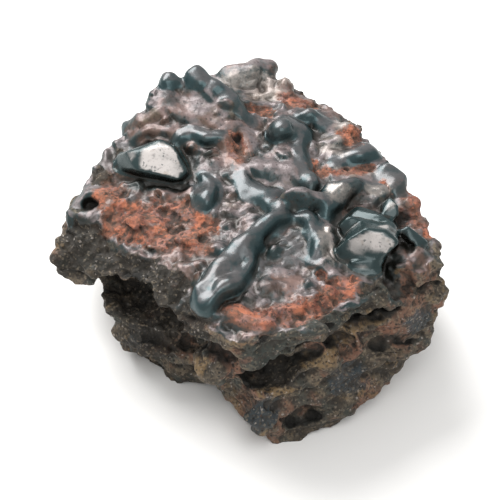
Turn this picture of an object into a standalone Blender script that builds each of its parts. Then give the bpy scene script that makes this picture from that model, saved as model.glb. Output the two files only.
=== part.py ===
"""A hand specimen of tin ore, as one solid.

A lump of dark, gritty rock carries a thick crust. The crust has run and set in ropes and lumps, and its lip hangs over
hollows in the rock below. Metres, +Z up. The stone rests on z = 0, on a flat broken face. +X runs to the right across
the photograph and +Y runs away from the viewer.

The corners, ropes and hollows are placed by sight: a pixel of the 500 x 500 photograph, with the height above the base
in millimetres where no surface is there yet to meet the line of sight.
"""

import math

import bpy
import bmesh
from mathutils import Matrix, Vector, noise
from mathutils.bvhtree import BVHTree

MM = 0.001

# Driving dimensions
STONE_WIDTH = 80 * MM
GRAIN = 0.7 * MM
CORNER_WEAR = 1.0 * MM
ROPE_LIFT = 0.45
ROPE_SWELL = 1.0
MOST_TRIANGLES = 9500
# The vector noise that bends and warps shapes is drawn from this seed, so that each run gives the same stone
NOISE_SEED = 7

# The stone's mean look
COLOUR = (0.075, 0.062, 0.055, 1)
ROUGHNESS = 0.6
METALLIC = 0.15

# The line of sight
STONE_WIDTH_PIXELS = 397
PIXEL = STONE_WIDTH / STONE_WIDTH_PIXELS
PICTURE_CENTRE = (250, 250)
LOOKING_DOWN = math.radians(42)
VIEW_DISTANCE = 4.5 * STONE_WIDTH
AIM = Vector((0.4 * MM, -3.3 * MM, 22 * MM))

# Chunks of the stone, each the hull of its corners: pixel across, pixel down, height in mm
CRUST = (
    (71, 208, 31), (64, 236, 27), (99, 173, 34), (127, 131, 35), (157, 101, 37), (192, 82, 38), (232, 74, 40),
    (262, 66, 40), (278, 74, 39), (303, 100, 37), (350, 125, 34), (360, 135, 34), (367, 159, 34), (402, 182, 34),
    (421, 214, 33), (434, 248, 31), (444, 274, 28), (242, 338, 31), (262, 340, 31), (330, 310, 32), (400, 272, 32),
    (54, 262, 23), (72, 272, 21), (92, 276, 20), (196, 337, 23), (250, 350, 26), (443, 298, 22), (432, 320, 19),
)
MOUND = (
    (122, 141, 35), (138, 119, 38), (158, 97, 42), (171, 83, 43), (194, 78, 44), (210, 80, 44), (226, 92, 43),
    (238, 106, 41), (244, 120, 38), (242, 158, 35), (225, 190, 34), (180, 190, 33), (130, 165, 34),
    (154, 114, 35), (188, 104, 35), (210, 106, 35), (235, 122, 34),
)
LEFT_KNOB = (
    (79, 196, 31), (91, 187, 33.5), (103, 191, 33.5), (108, 201, 32.5), (103, 213, 30), (89, 214, 29), (78, 208, 29),
    (94, 201, 26),
)
LEFT_FOOT = (
    (95, 282, 24), (107, 299, 21), (124, 318, 14), (133, 335, 8), (132, 352, 0), (154, 369, -0.5), (178, 383, -0.5),
    (203, 383, -0.5), (210, 352, 10), (200, 330, 20), (120, 270, 26), (180, 260, 26), (120, 240, 2), (230, 260, -2),
    (230, 330, -2), (160, 340, -2), (200, 358, -2),
)
FRONT_FOOT = (
    (216, 380, 5), (236, 399, 4), (252, 417, 3), (262, 435, 0), (281, 449, -1), (300, 440, -0.5), (331, 428, 0),
    (352, 405, 4), (391, 375, 6), (407, 358, 9), (428, 333, 13), (446, 304, 20), (214, 352, 16), (246, 352, 27),
    (330, 322, 28), (400, 284, 28), (230, 300, 28), (300, 300, -2), (360, 360, -2), (240, 340, -2), (280, 425, -2),
)
BACK = (
    (68, 224, 20), (82, 262, 16), (150, 205, 2), (104, 215, 6), (112, 262, 1), (268, 204, 2), (262, 116, 24),
    (190, 122, 24), (120, 150, 20), (330, 208, 3), (346, 154, 22), (418, 226, 20), (406, 266, 4), (438, 292, 18),
    (230, 300, -2), (300, 290, -2), (210, 245, -2), (320, 245, -2), (388, 320, -2), (262, 84, 35), (232, 92, 35),
    (190, 104, 33), (124, 150, 31), (98, 190, 30), (72, 224, 27), (303, 116, 33), (350, 142, 31), (402, 198, 31),
    (434, 262, 27),
)
CORE = (
    (200, 347, -2), (232, 376, -2), (320, 387, -2), (320, 321, -2), (200, 314, -2), (200, 244, 26), (230, 273, 27),
    (320, 280, 27), (320, 213, 27), (200, 206, 27),
)
CHIP_LEFT = (
    (124, 151, 36), (132, 153, 37.6), (148, 146, 38.4), (166, 145, 38.6), (173, 153, 38), (184, 171, 36.6),
    (170, 177, 36.2), (139, 168, 36.8), (124, 172, 33), (190, 184, 32), (150, 186, 31), (152, 150, 30), (180, 160, 32),
)
CHIP_RIGHT = (
    (338, 244, 33.5), (350, 231, 35.5), (366, 221, 37), (384, 223, 37), (394, 236, 36), (390, 248, 35),
    (374, 262, 33), (354, 270, 31.5), (340, 262, 32), (350, 250, 27), (385, 240, 27), (370, 225, 27),
)
ROCK = {
    "crust": CRUST,
    "mound": MOUND,
    "left_knob": LEFT_KNOB,
    "left_foot": LEFT_FOOT,
    "front_foot": FRONT_FOOT,
    "back": BACK,
    "core": CORE,
}
CHIPS = {
    "chip_left": CHIP_LEFT,
    "chip_right": CHIP_RIGHT,
}

# Directions that the walls face
LEFT_WALL = Vector((-0.64, -0.77, 0))
FRONT_WALL = Vector((0.1, -1, 0))
RIGHT_WALL = Vector((0.46, -0.89, 0))
LEFT_TOP = Vector((-0.5, -0.5, 0.7))
REAR_WALL = Vector((0.3, 1, 0))
LEFT_REAR = Vector((-1, 0.5, 0))
RIGHT_REAR = Vector((1, 0.35, 0))

# Hollows: pixel across, pixel down, height in mm or the surface's own, half its length, height and depth in mm,
# tilt in degrees, the way it faces
HOLLOWS = {
    "long_undercut": (147, 299, 22.5, 13.0, 6.4, 8.5, -8, LEFT_WALL),
    "undercut_end": (187, 343, 16.0, 5.5, 6.5, 7.0, -30, LEFT_WALL),
    "slit_over_boulder": (236, 338, 24.0, 3.6, 2.0, 7.0, -5, FRONT_WALL),
    "cave": (267, 383, None, 7.4, 3.8, 8.5, -12, FRONT_WALL),
    "cave_chimney": (280, 366, None, 2.2, 3.0, 5.5, 0, FRONT_WALL),
    "shelf_pocket": (307, 347, None, 2.6, 1.9, 5.0, -4, RIGHT_WALL),
    "shelf_scoop": (306, 357, None, 3.4, 3.2, 2.6, 10, RIGHT_WALL),
    "trough": (340, 344, None, 6.2, 2.3, 3.6, 48, RIGHT_WALL),
    "trough_top": (360, 325, None, 4.6, 2.2, 4.2, 16, RIGHT_WALL),
    "long_slit": (380, 318, None, 5.6, 1.6, 6.5, 8, RIGHT_WALL),
    "slot_recess": (399, 279, None, 3.6, 4.6, 2.6, -4, RIGHT_WALL),
    "slot": (398, 277, None, 1.1, 3.7, 5.5, 12, RIGHT_WALL),
    "bottom_notch": (304, 418, None, 5.0, 2.4, 3.4, 14, RIGHT_WALL),
    "right_crevice": (429, 288, None, 3.2, 1.1, 2.8, 4, RIGHT_WALL),
    "low_slit": (414, 342, None, 2.2, 0.8, 2.4, 20, RIGHT_WALL),
    "small_pit": (314, 384, None, 1.0, 0.7, 1.8, 0, RIGHT_WALL),
    "band_pit": (341, 308, None, 0.9, 0.9, 1.6, 0, RIGHT_WALL),
    "band_pit_two": (355, 302, None, 0.8, 0.7, 1.4, 0, RIGHT_WALL),
    "band_slit": (330, 327, None, 1.4, 0.7, 2.2, 10, RIGHT_WALL),
    "left_hole": (91, 203, None, 2.3, 1.5, 3.6, -20, LEFT_TOP),
    "left_pinhole": (74, 226, None, 1.0, 1.0, 2.0, 0, LEFT_TOP),
    "left_dent": (84, 232, None, 1.6, 1.0, 1.8, 20, LEFT_TOP),
    "rear_notch": (332, 105, 34.0, 2.6, 3.4, 2.4, 0, RIGHT_REAR),
    "side_notch": (381, 147, 32.0, 2.4, 3.4, 2.2, 0, RIGHT_REAR),
}
BLIND_HOLLOWS = {
    "rear_cave": ((4, 34, 15), 6.5, 3.2, 5.0, 8, REAR_WALL),
    "rear_dent": ((-17, 33, 26), 5.0, 3.5, 4.0, -20, REAR_WALL),
    "rear_pocket": ((24, 30, 10), 4.0, 3.0, 4.0, 30, REAR_WALL),
    "left_rear_pocket": ((-37, 10, 19), 5.0, 3.2, 4.0, -15, LEFT_REAR),
    "right_rear_trough": ((39, 4, 20), 7.0, 2.6, 4.0, 12, RIGHT_REAR),
    "right_rear_dent": ((34, 18, 9), 3.5, 2.6, 3.5, 0, RIGHT_REAR),
}

# Ropes of the crust: pixel across, pixel down, radius in mm
ROPES = {
    "main_upper": ((250, 214, 1.0), (258, 204, 1.5), (268, 205, 1.7), (278, 214, 1.9), (275, 225, 1.9),
                   (264, 234, 1.9), (254, 240, 2.1), (246, 246, 2.2)),
    "main_left": ((250, 242, 2.0), (238, 248, 2.0), (228, 257, 2.0), (218, 268, 2.1), (209, 281, 2.2),
                  (202, 293, 2.3), (198, 303, 2.2)),
    "main_right": ((249, 243, 1.9), (247, 256, 1.7), (244, 268, 2.2), (236, 278, 2.7), (224, 287, 2.8),
                   (212, 296, 2.6), (202, 306, 2.3)),
    "hook": ((279, 216, 1.2), (290, 217, 1.2), (302, 220, 1.2), (311, 226, 1.3), (316, 236, 1.2), (315, 248, 1.0),
             (313, 260, 0.8)),
    "spine": ((285, 130, 2.4), (295, 136, 1.8), (298, 148, 1.3), (298, 160, 1.2), (300, 172, 1.3), (305, 184, 1.4),
              (311, 194, 1.1)),
    "spine_side": ((288, 162, 0.8), (294, 171, 1.0), (301, 183, 1.1), (307, 192, 0.9)),
    "fold_one": ((271, 160, 0.9), (268, 170, 1.1), (272, 180, 1.0), (277, 190, 0.8)),
    "fold_two": ((281, 158, 0.9), (283, 168, 1.1), (282, 178, 1.1), (284, 188, 0.8)),
    "fold_three": ((262, 162, 0.9), (257, 171, 1.0), (250, 176, 0.9)),
    "dark_arch": ((235, 178, 1.3), (242, 189, 1.8), (252, 196, 1.9), (264, 198, 1.7), (275, 193, 1.3)),
    "right_lobe": ((364, 155, 1.9), (355, 155, 1.5), (346, 157, 1.5), (337, 161, 1.1)),
    "tongue": ((356, 184, 1.6), (345, 185, 2.2), (335, 192, 2.4), (327, 204, 2.2), (322, 212, 1.4)),
    "tongue_tail": ((352, 183, 1.3), (366, 185, 1.1), (384, 190, 0.9), (394, 200, 0.8)),
    "shoulder_lobe": ((402, 178, 1.5), (394, 173, 1.4), (385, 175, 1.2), (374, 180, 0.9)),
    "shoulder_drip": ((397, 173, 1.2), (400, 184, 1.1), (405, 195, 0.9)),
    "arch": ((293, 121, 1.0), (304, 117, 1.3), (313, 117, 1.6), (321, 122, 1.6), (327, 130, 1.1)),
    "crest": ((186, 82, 1.2), (198, 81, 1.6), (208, 83, 1.8), (217, 88, 1.7), (226, 94, 1.7), (233, 100, 1.7),
              (239, 110, 1.5), (244, 119, 1.2), (247, 126, 0.9)),
    "crest_fold": ((202, 83, 1.0), (206, 93, 1.2), (215, 101, 1.2), (220, 111, 1.1), (228, 121, 0.9)),
    "border": ((226, 128, 0.9), (235, 137, 1.2), (242, 149, 1.2), (246, 162, 1.1), (254, 172, 0.9)),
    "mound_fold": ((149, 96, 0.9), (155, 103, 1.1), (165, 106, 1.1), (175, 104, 1.2), (181, 110, 0.9)),
    "mound_rim": ((147, 96, 1.0), (151, 102, 1.0), (158, 110, 0.8)),
    "brow": ((173, 139, 0.9), (181, 132, 1.2), (190, 129, 1.4), (200, 134, 1.5), (209, 142, 1.3), (215, 146, 0.8)),
    "drip": ((200, 177, 1.6), (205, 186, 2.1), (207, 196, 2.3), (204, 205, 1.9)),
    "small_drip": ((214, 163, 0.9), (210, 169, 1.2), (216, 175, 0.9)),
    "rim_lip": ((222, 322, 1.2), (234, 327, 1.5), (248, 332, 1.6), (262, 333, 1.2), (280, 326, 0.9)),
    "left_edge": ((104, 147, 1.0), (107, 155, 1.4), (110, 163, 1.3), (114, 173, 0.9)),
    "band": ((300, 202, 1.4), (312, 209, 1.6), (322, 219, 1.6), (328, 233, 1.5), (328, 248, 1.5), (325, 262, 1.4),
             (321, 274, 1.1)),
    "curl": ((263, 291, 0.8), (265, 280, 1.0), (275, 273, 1.1), (287, 275, 1.1), (296, 284, 0.9)),
    "pocket_rim": ((227, 132, 0.9), (233, 125, 1.2), (242, 126, 1.2), (249, 134, 1.0)),
    "pocket_side": ((225, 138, 0.9), (226, 150, 1.0), (230, 160, 1.0), (237, 169, 1.0), (247, 172, 0.8)),
    "mound_vein": ((195, 83, 0.9), (192, 93, 1.0), (198, 103, 1.1), (206, 112, 1.0), (218, 117, 0.8)),
    "mound_fold_two": ((167, 116, 0.9), (179, 118, 1.1), (190, 122, 1.1), (201, 123, 0.9)),
    "left_ledge": ((127, 129, 0.9), (139, 125, 1.2), (149, 119, 1.2), (158, 114, 0.9)),
    "left_fold": ((134, 140, 0.8), (144, 133, 1.0), (155, 132, 1.0), (165, 135, 0.8)),
}

# Lumps: pixel across, pixel down, radius across, up and away in mm
GLOSSY_LUMPS = {
    "dome": (197, 78, 2.6, 2.3, 2.5),
    "bump": (169, 83, 2.3, 1.8, 2.1),
    "spine_knob": (286, 133, 2.9, 2.5, 2.4),
    "edge_knob": (121, 121, 1.6, 1.4, 1.4),
    "corner_lump": (236, 252, 1.6, 1.3, 1.2),
    "pool": (286, 245, 4.4, 3.6, 1.0),
    "shoulder_lump": (410, 206, 2.6, 2.2, 2.0),
    "cheek": (212, 148, 2.6, 2.0, 1.6),
    "shelf": (212, 268, 2.4, 2.0, 1.4),
}
ROUGH_LUMPS = {
    "boulder": (225, 357, 5.2, 4.4, 4.6),
    "second_bump": (156, 94, 1.5, 1.3, 1.8),
    "rear_lobe": (238, 75, 4.4, 2.0, 3.0),
    "rear_head": (262, 68, 3.0, 2.0, 2.6),
    "rear_shoulder": (283, 86, 1.5, 1.5, 1.8),
    "right_knob": (351, 132, 2.5, 2.6, 2.6),
    "pebble": (82, 244, 2.3, 2.1, 1.8),
    "left_tip": (60, 262, 2.0, 1.2, 2.0),
    "right_end": (436, 268, 2.0, 2.2, 2.0),
    "wall_ledge": (385, 350, 5.5, 1.6, 2.2),
    "band_ledge": (300, 330, 5.0, 1.4, 1.6),
    "foot_ledge": (160, 345, 5.0, 1.8, 2.0),
    "corner_boss": (262, 414, 3.0, 3.4, 2.4),
}


def sight(across, down):
    """The viewpoint, and the direction in which a pixel is seen from it."""
    forward = Vector((0, math.cos(LOOKING_DOWN), -math.sin(LOOKING_DOWN)))
    upward = Vector((0, math.sin(LOOKING_DOWN), math.cos(LOOKING_DOWN)))
    viewpoint = AIM - forward * VIEW_DISTANCE
    right = (across - PICTURE_CENTRE[0]) * PIXEL
    up = (PICTURE_CENTRE[1] - down) * PIXEL
    return viewpoint, (forward * VIEW_DISTANCE + Vector((right, 0, 0)) + upward * up).normalized()


def at_height(across, down, height_mm):
    """The point of that height which a pixel shows, or would show through a clear stone."""
    viewpoint, direction = sight(across, down)
    return viewpoint + direction * ((height_mm * MM - viewpoint.z) / direction.z)


def on_surface(surface, across, down):
    """Where the line of sight through a pixel meets the stone, or passes nearest to it, and the normal there."""
    viewpoint, direction = sight(across, down)
    place, normal, _, _ = surface.ray_cast(viewpoint, direction)
    if place is None:
        tries = [viewpoint + direction * (VIEW_DISTANCE + step * MM) for step in range(-40, 60, 2)]
        found = [surface.find_nearest(point) for point in tries]
        place, normal, _, _ = min(found, key=lambda hit: hit[3])
    return place, normal


def object_from(name, shape):
    """A new object that takes over a bmesh."""
    mesh = bpy.data.meshes.new(name)
    shape.to_mesh(mesh)
    shape.free()
    made = bpy.data.objects.new(name, mesh)
    bpy.context.scene.collection.objects.link(made)
    return made


def evaluated_mesh(thing):
    """The object's mesh with its modifiers applied."""
    graph = bpy.context.evaluated_depsgraph_get()
    return bpy.data.meshes.new_from_object(thing.evaluated_get(graph))


def apply_modifiers(thing):
    baked = evaluated_mesh(thing)
    thing.modifiers.clear()
    thing.data = baked


def discard(things):
    for thing in things:
        bpy.data.objects.remove(thing, do_unlink=True)


def chunk(name, corners):
    """A piece of broken rock: the hull of its corners."""
    shape = bmesh.new()
    places = [at_height(*corner) for corner in corners]
    middle = sum(places, Vector()) / len(places)
    for place in places:
        shape.verts.new(place + (place - middle).normalized() * CORNER_WEAR)
    bmesh.ops.convex_hull(shape, input=shape.verts)
    inner = [v for v in shape.verts if not v.link_faces]
    bmesh.ops.delete(shape, geom=inner, context="VERTS")
    bmesh.ops.recalc_face_normals(shape, faces=shape.faces)
    return object_from(name, shape)


def boolean(thing, other, operation):
    step = thing.modifiers.new(operation.lower(), "BOOLEAN")
    step.operation = operation
    step.object = other
    apply_modifiers(thing)


def uneven_ball(name, place, axes, radii, unevenness):
    """A ball with these radii along these axes, its surface pushed in and out by a share of its size."""
    shape = bmesh.new()
    bmesh.ops.create_icosphere(shape, subdivisions=3, radius=1)
    turn = Matrix(axes).transposed()
    for vertex in shape.verts:
        bulge = 1 + unevenness * noise.noise(vertex.co * 1.6 + place / (7 * MM))
        vertex.co = place + turn @ Vector(r * c * bulge for r, c in zip(radii, vertex.co))
    return object_from(name, shape)


def hollow(name, place, half_length, half_height, half_depth, tilt, facing):
    """The cutter for a hollow in a wall that faces one way."""
    out = facing.normalized()
    along = Vector((0, 0, 1)).cross(out).normalized()
    along.rotate(Matrix.Rotation(math.radians(-tilt), 3, out))
    up = out.cross(along)
    radii = (half_length * MM, half_height * MM, half_depth * MM)
    return uneven_ball(name, place, (along, up, out), radii, 0.28)


def rope(name, surface, points):
    """A rope of crust, half sunk where the line of sight meets the stone."""
    curve = bpy.data.curves.new(name, "CURVE")
    curve.dimensions = "3D"
    curve.bevel_depth = MM
    curve.bevel_resolution = 3
    curve.resolution_u = 5
    curve.use_fill_caps = True
    spline = curve.splines.new("NURBS")
    spline.points.add(len(points) - 1)
    for point, (across, down, radius) in zip(spline.points, points):
        place, normal = on_surface(surface, across, down)
        point.co = (*(place + normal * radius * ROPE_LIFT * MM), 1)
        point.radius = radius * ROPE_SWELL
    spline.order_u = 3
    spline.use_endpoint_u = True
    tube = bpy.data.objects.new(name, curve)
    bpy.context.scene.collection.objects.link(tube)
    solid = bpy.data.objects.new(name, evaluated_mesh(tube))
    bpy.context.scene.collection.objects.link(solid)
    discard([tube])
    ends = []
    for across, down, radius in (points[0], points[-1]):
        place, normal = on_surface(surface, across, down)
        size = (radius * ROPE_SWELL * MM,) * 3
        ends.append(uneven_ball(name + "_end", place + normal * radius * ROPE_LIFT * MM, Matrix.Identity(3), size, 0))
    return [solid, *ends]


def lump(name, surface, across, down, wide, high, deep):
    place, _ = on_surface(surface, across, down)
    radii = (wide * MM, deep * MM, high * MM)
    return uneven_ball(name, place, Matrix.Identity(3), radii, 0.2)


def fused(name, things, grain):
    """One body of all these things, on a grid of that grain."""
    shape = bmesh.new()
    for thing in things:
        thing.data.transform(thing.matrix_world)
        shape.from_mesh(thing.data)
    discard(things)
    whole = object_from(name, shape)
    remesh = whole.modifiers.new("fuse", "REMESH")
    remesh.mode = "VOXEL"
    remesh.voxel_size = grain
    apply_modifiers(whole)
    return whole


def surface_of(thing):
    return BVHTree.FromObject(thing, bpy.context.evaluated_depsgraph_get())


def eased(value, low, high):
    """0 below low and 1 above high, with a smooth rise between."""
    share = min(1, max(0, (value - low) / (high - low)))
    return share * share * (3 - 2 * share)


def closeness(surface, place, reach):
    """1 on the surface, 0 at this distance from it and farther."""
    found, _, _, distance = surface.find_nearest(place, reach)
    return 0 if found is None else 1 - eased(distance, 0.35 * reach, reach)


def wrinkles(place):
    """Rounded folds and thin ropes, as the skin of a thick melt has. Millimetres in, a height from -0.5 to 1 out."""
    drawn = place + noise.noise_vector(place / 6.0) * 2.6
    near, next_near = noise.voronoi(drawn / 4.6)[0][:2]
    pad = math.sqrt(min(1, (next_near - near) / 0.55))
    across_rope = noise.noise(drawn / 5.2) / 0.17
    strand = math.sqrt(max(0, 1 - across_rope * across_rope))
    return 0.75 * pad - 0.5 + 0.75 * strand


def pits(place):
    """Round bubble holes broken open. Millimetres in, a depth from 0 to 1 out."""
    near = noise.voronoi(place / 5.5)[0][0]
    return max(0, 1 - near / 0.24) ** 0.5


def ledges(place):
    """Broken steps that run along the walls. Millimetres in, a height from about -1 to 1 out."""
    bent = place + noise.noise_vector(place / 12.0) * 3.0
    step = noise.noise(Vector((bent.x / 9.0, bent.y / 9.0, bent.z / 3.6)))
    return math.tanh(step * 4.0)


def warped(thing, scale, amount):
    """Makes a smooth shape ragged. The scale and the amount are in millimetres."""
    mesh = thing.data
    for vertex in mesh.vertices:
        place = vertex.co / MM / scale
        push = noise.noise_vector(place) + noise.noise_vector(place * 2.1 + Vector((9, 4, 2))) * 0.4
        vertex.co += push * amount * MM
    mesh.update()


def roughened(thing, ropes, chips, hollows):
    """Breaks up the flat faces: folds between the ropes on the crust's top, and ledges and pits in the broken rock."""
    mesh = thing.data
    moves = []
    for vertex in mesh.vertices:
        place = vertex.co / MM
        coarse = noise.fractal(place / 9.0, 0.9, 2.1, 3)
        fine = noise.fractal(place / 2.6, 0.8, 2.0, 2)
        top = eased(vertex.normal.z, 0.2, 0.6) * eased(vertex.co.z, 25 * MM, 30 * MM)
        on_rope = closeness(ropes, vertex.co, 1.2 * MM)
        on_chip = closeness(chips, vertex.co, 1.6 * MM)
        inside = closeness(hollows, vertex.co, 1.2 * MM)
        rock = 0.7 * coarse + 0.45 * fine - 0.8 * pits(place) + (1.0 * ledges(place) - 0.3) * (1 - inside)
        crust = 0.3 * coarse + 0.9 * wrinkles(place)
        skirt = 0.8 * closeness(ropes, vertex.co, 3.2 * MM)
        rough = rock * (1 - top) + crust * top
        rough = rough * (1 - on_rope) + (0.3 * coarse + 0.5 * noise.noise(place / 2.8)) * on_rope
        moves.append(vertex.normal * (rough + skirt) * (1 - on_chip) * MM)
    for vertex, move in zip(mesh.vertices, moves):
        vertex.co += move
    mesh.update()


def reduced(thing, most_triangles):
    """The same shape in fewer triangles."""
    corners = sum(len(face.vertices) - 2 for face in thing.data.polygons)
    step = thing.modifiers.new("reduce", "DECIMATE")
    step.ratio = most_triangles / corners
    step.use_collapse_triangulate = True
    apply_modifiers(thing)


def without_crumbs(thing):
    """Keeps the stone itself: loose crumbs and sealed bubbles go."""
    shape = bmesh.new()
    shape.from_mesh(thing.data)
    unseen = set(shape.verts)
    bodies = []
    while unseen:
        body = [unseen.pop()]
        for vertex in body:
            linked = {edge.other_vert(vertex) for edge in vertex.link_edges} & unseen
            unseen -= linked
            body.extend(sorted(linked, key=lambda found: found.index))
        bodies.append(body)
    bodies.sort(key=len)
    for body in bodies[:-1]:
        bmesh.ops.delete(shape, geom=body, context="VERTS")
    shape.to_mesh(thing.data)
    shape.free()


def cut_flat(thing):
    """The flat broken face that the stone rests on."""
    shape = bmesh.new()
    shape.from_mesh(thing.data)
    everything = shape.verts[:] + shape.edges[:] + shape.faces[:]
    bmesh.ops.bisect_plane(shape, geom=everything, plane_co=(0, 0, 0), plane_no=(0, 0, 1), clear_inner=True)
    bmesh.ops.holes_fill(shape, edges=[edge for edge in shape.edges if edge.is_boundary])
    bmesh.ops.triangulate(shape, faces=shape.faces)
    bmesh.ops.recalc_face_normals(shape, faces=shape.faces)
    shape.to_mesh(thing.data)
    shape.free()


def hollow_cutter(surface):
    """One cutter for all the hollows."""
    cutters = []
    for name, (across, down, height, *sizes) in HOLLOWS.items():
        if height is None:
            place, _ = on_surface(surface, across, down)
        else:
            place = at_height(across, down, height)
        cutters.append(hollow(name, place, *sizes))
    for name, (place_mm, *sizes) in BLIND_HOLLOWS.items():
        cutters.append(hollow(name, Vector(place_mm) * MM, *sizes))
    cutter = fused("hollows", cutters, 0.5 * MM)
    warped(cutter, 3.2, 0.9)
    return cutter


def ore_material():
    material = bpy.data.materials.new("tin_ore")
    material.use_nodes = True
    shader = material.node_tree.nodes["Principled BSDF"]
    shader.inputs["Base Color"].default_value = COLOUR
    shader.inputs["Roughness"].default_value = ROUGHNESS
    shader.inputs["Metallic"].default_value = METALLIC
    return material


def glossy_relief(surface):
    """The ropes and lumps that the crust has set in, as one body."""
    pieces = []
    for name, points in ROPES.items():
        pieces += rope(name, surface, points)
    for name, sizes in GLOSSY_LUMPS.items():
        pieces.append(lump(name, surface, *sizes))
    relief = fused("relief", pieces, 0.5 * MM)
    warped(relief, 4.0, 0.9)
    return relief


def ore_lump():
    noise.seed_set(NOISE_SEED)
    rock = fused("rock", [chunk(name, corners) for name, corners in ROCK.items()], 1.1 * MM)
    cutter = hollow_cutter(surface_of(rock))
    hollows = surface_of(cutter)
    boolean(rock, cutter, "DIFFERENCE")
    discard([cutter])
    surface = surface_of(rock)
    chips = fused("chips", [chunk(name, corners) for name, corners in CHIPS.items()], 0.5 * MM)
    relief = glossy_relief(surface)
    rough_lumps = [lump(name, surface, *sizes) for name, sizes in ROUGH_LUMPS.items()]
    near_relief = surface_of(relief)
    near_chips = surface_of(chips)
    stone = fused("ore_lump", [rock, chips, relief, *rough_lumps], GRAIN)
    roughened(stone, near_relief, near_chips, hollows)
    reduced(stone, MOST_TRIANGLES)
    cut_flat(stone)
    without_crumbs(stone)
    stone.data.materials.append(ore_material())
    return stone


def main():
    discard(list(bpy.data.objects))
    stone = ore_lump()
    specimen = bpy.data.collections.new("tin_ore")
    bpy.context.scene.collection.children.link(specimen)
    bpy.context.scene.collection.objects.unlink(stone)
    specimen.objects.link(stone)


main()
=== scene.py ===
"""The looks of a hand specimen of tin ore.

The whole stone is one piece: gritty rock under a crust that has run and set in glossy ropes. Its chunks,
ropes, lumps, hollows and stains are placed by sight, as in the solid model: a pixel of the 500 x 500
photograph, with the height above the base in millimetres where no surface is there yet to meet the line of
sight. Metres, +Z up, resting on z = 0.
"""

import math

import bpy
import numpy as np
from bpy.props import FloatProperty, FloatVectorProperty, IntProperty, PointerProperty
from mathutils import Matrix, Vector, noise
from mathutils.bvhtree import BVHTree


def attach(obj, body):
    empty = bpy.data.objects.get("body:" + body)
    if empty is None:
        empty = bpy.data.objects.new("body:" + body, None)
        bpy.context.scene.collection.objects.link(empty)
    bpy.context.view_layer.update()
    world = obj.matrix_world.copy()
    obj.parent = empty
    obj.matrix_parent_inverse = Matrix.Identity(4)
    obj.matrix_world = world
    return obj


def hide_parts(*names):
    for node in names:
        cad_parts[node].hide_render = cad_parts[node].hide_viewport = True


bl_info = {
    "name": "Tin ore specimen",
    "version": (1, 0, 0),
    "blender": (4, 5, 0),
    "location": "View3D > Sidebar > Tin ore",
    "description": "Builds a hand specimen of tin ore with a glossy, ropy crust, and its studio",
    "category": "Add Mesh",
}

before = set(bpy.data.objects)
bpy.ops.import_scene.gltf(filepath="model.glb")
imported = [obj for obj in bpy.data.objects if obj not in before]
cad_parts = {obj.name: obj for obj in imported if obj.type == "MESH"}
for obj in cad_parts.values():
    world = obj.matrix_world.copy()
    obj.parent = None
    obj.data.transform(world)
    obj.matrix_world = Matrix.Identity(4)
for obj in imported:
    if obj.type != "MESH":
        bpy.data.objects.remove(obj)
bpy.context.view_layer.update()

MM = 0.001

# The line of sight
STONE_WIDTH = 80 * MM
STONE_WIDTH_PIXELS = 397
PIXEL = STONE_WIDTH / STONE_WIDTH_PIXELS
PICTURE_CENTRE = (250, 250)
PICTURE_WIDTH = 500
LOOKING_DOWN = math.radians(42)
VIEW_DISTANCE = 4.5 * STONE_WIDTH
AIM = Vector((0.4 * MM, -3.3 * MM, 22 * MM))
SENSOR_WIDTH_MM = 36
RIGHTWARD = Vector((1, 0, 0))
FORWARD = Vector((0, math.cos(LOOKING_DOWN), -math.sin(LOOKING_DOWN)))
UPWARD = Vector((0, math.sin(LOOKING_DOWN), math.cos(LOOKING_DOWN)))
VIEWPOINT = AIM - FORWARD * VIEW_DISTANCE

# Where a line of sight passes the stone by, steps along it at which the nearest surface is sought
SEARCH_STEPS_MM = range(-40, 60, 2)

# The vector noise that bends and warps shapes is drawn from this seed, so that each run gives the same stone
NOISE_SEED = 7

# Corners stand out by this much beforehand, because fusing wears them off. The flat base is cut this exactly.
CORNER_WEAR = 1.0 * MM
CUT_EXACTNESS = 0.001 * MM

# Spacing of the grids on which the parts are fused
ROCK_GRAIN = 1.1 * MM
HOLLOW_GRAIN = 0.5 * MM
SWELL_GRAIN = 0.5 * MM
ROPE_GRAIN = 0.4 * MM
CHIP_GRAIN = 0.4 * MM

# How uneven the lumps and hollows are, as a share of their size
LUMP_UNEVENNESS = 0.2
HOLLOW_UNEVENNESS = 0.28
BALL_NOISE_SCALE = 1.6
BALL_NOISE_SPREAD = 7 * MM

# Warping of the hollows and the ropes: spacing and amount in mm
HOLLOW_WARP = (3.2, 0.9)
ROPE_WARP = (4.0, 0.8)

# How far the skin of each thing reaches, and how far it acts on what lies round it. Up to the core's share of
# that reach it counts in full.
ROPE_SKIN = 1.4 * MM
GLAZED_SKIRT = 3.6 * MM
BLOOMED_SKIRT = 3.2 * MM
CHIP_SKIN = 1.2 * MM
CHIP_MOAT = 3.4 * MM
HOLLOW_SKIN = 1.2 * MM
CORE_SHARE = 0.35

# Where the crust lies: the upward part of the normal and the height at which it starts and is whole. The
# ropes run into it from somewhat lower down, and their glaze sheds most of the rust.
CRUST_TILT = (0.1, 0.5)
CRUST_HEIGHT = (25 * MM, 30 * MM)
MELT_HEIGHT = (18 * MM, 24 * MM)
MELT_GAIN = 1.2
BLEND_SHARE = 0.5
GLAZE_SHEDS_RUST = 0.85

# Spacing of the patterns of relief, in mm
COARSE_MM = 9.0
FINE_MM = 2.6
CRUMB_MM = 1.1
PAD_MM = 4.6
DENT_MM = 5.2
LIP_MM = 3.8
WRINKLE_MM = 1.9
RIPPLE_MM = 1.7
PIT_MM = 5.5
SMALL_PIT_MM = 2.3
LEDGE_MM = (9.0, 3.6)
SMALL_LEDGE_MM = (3.6, 1.6)
UNDULATION_MM = 3.6

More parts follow.
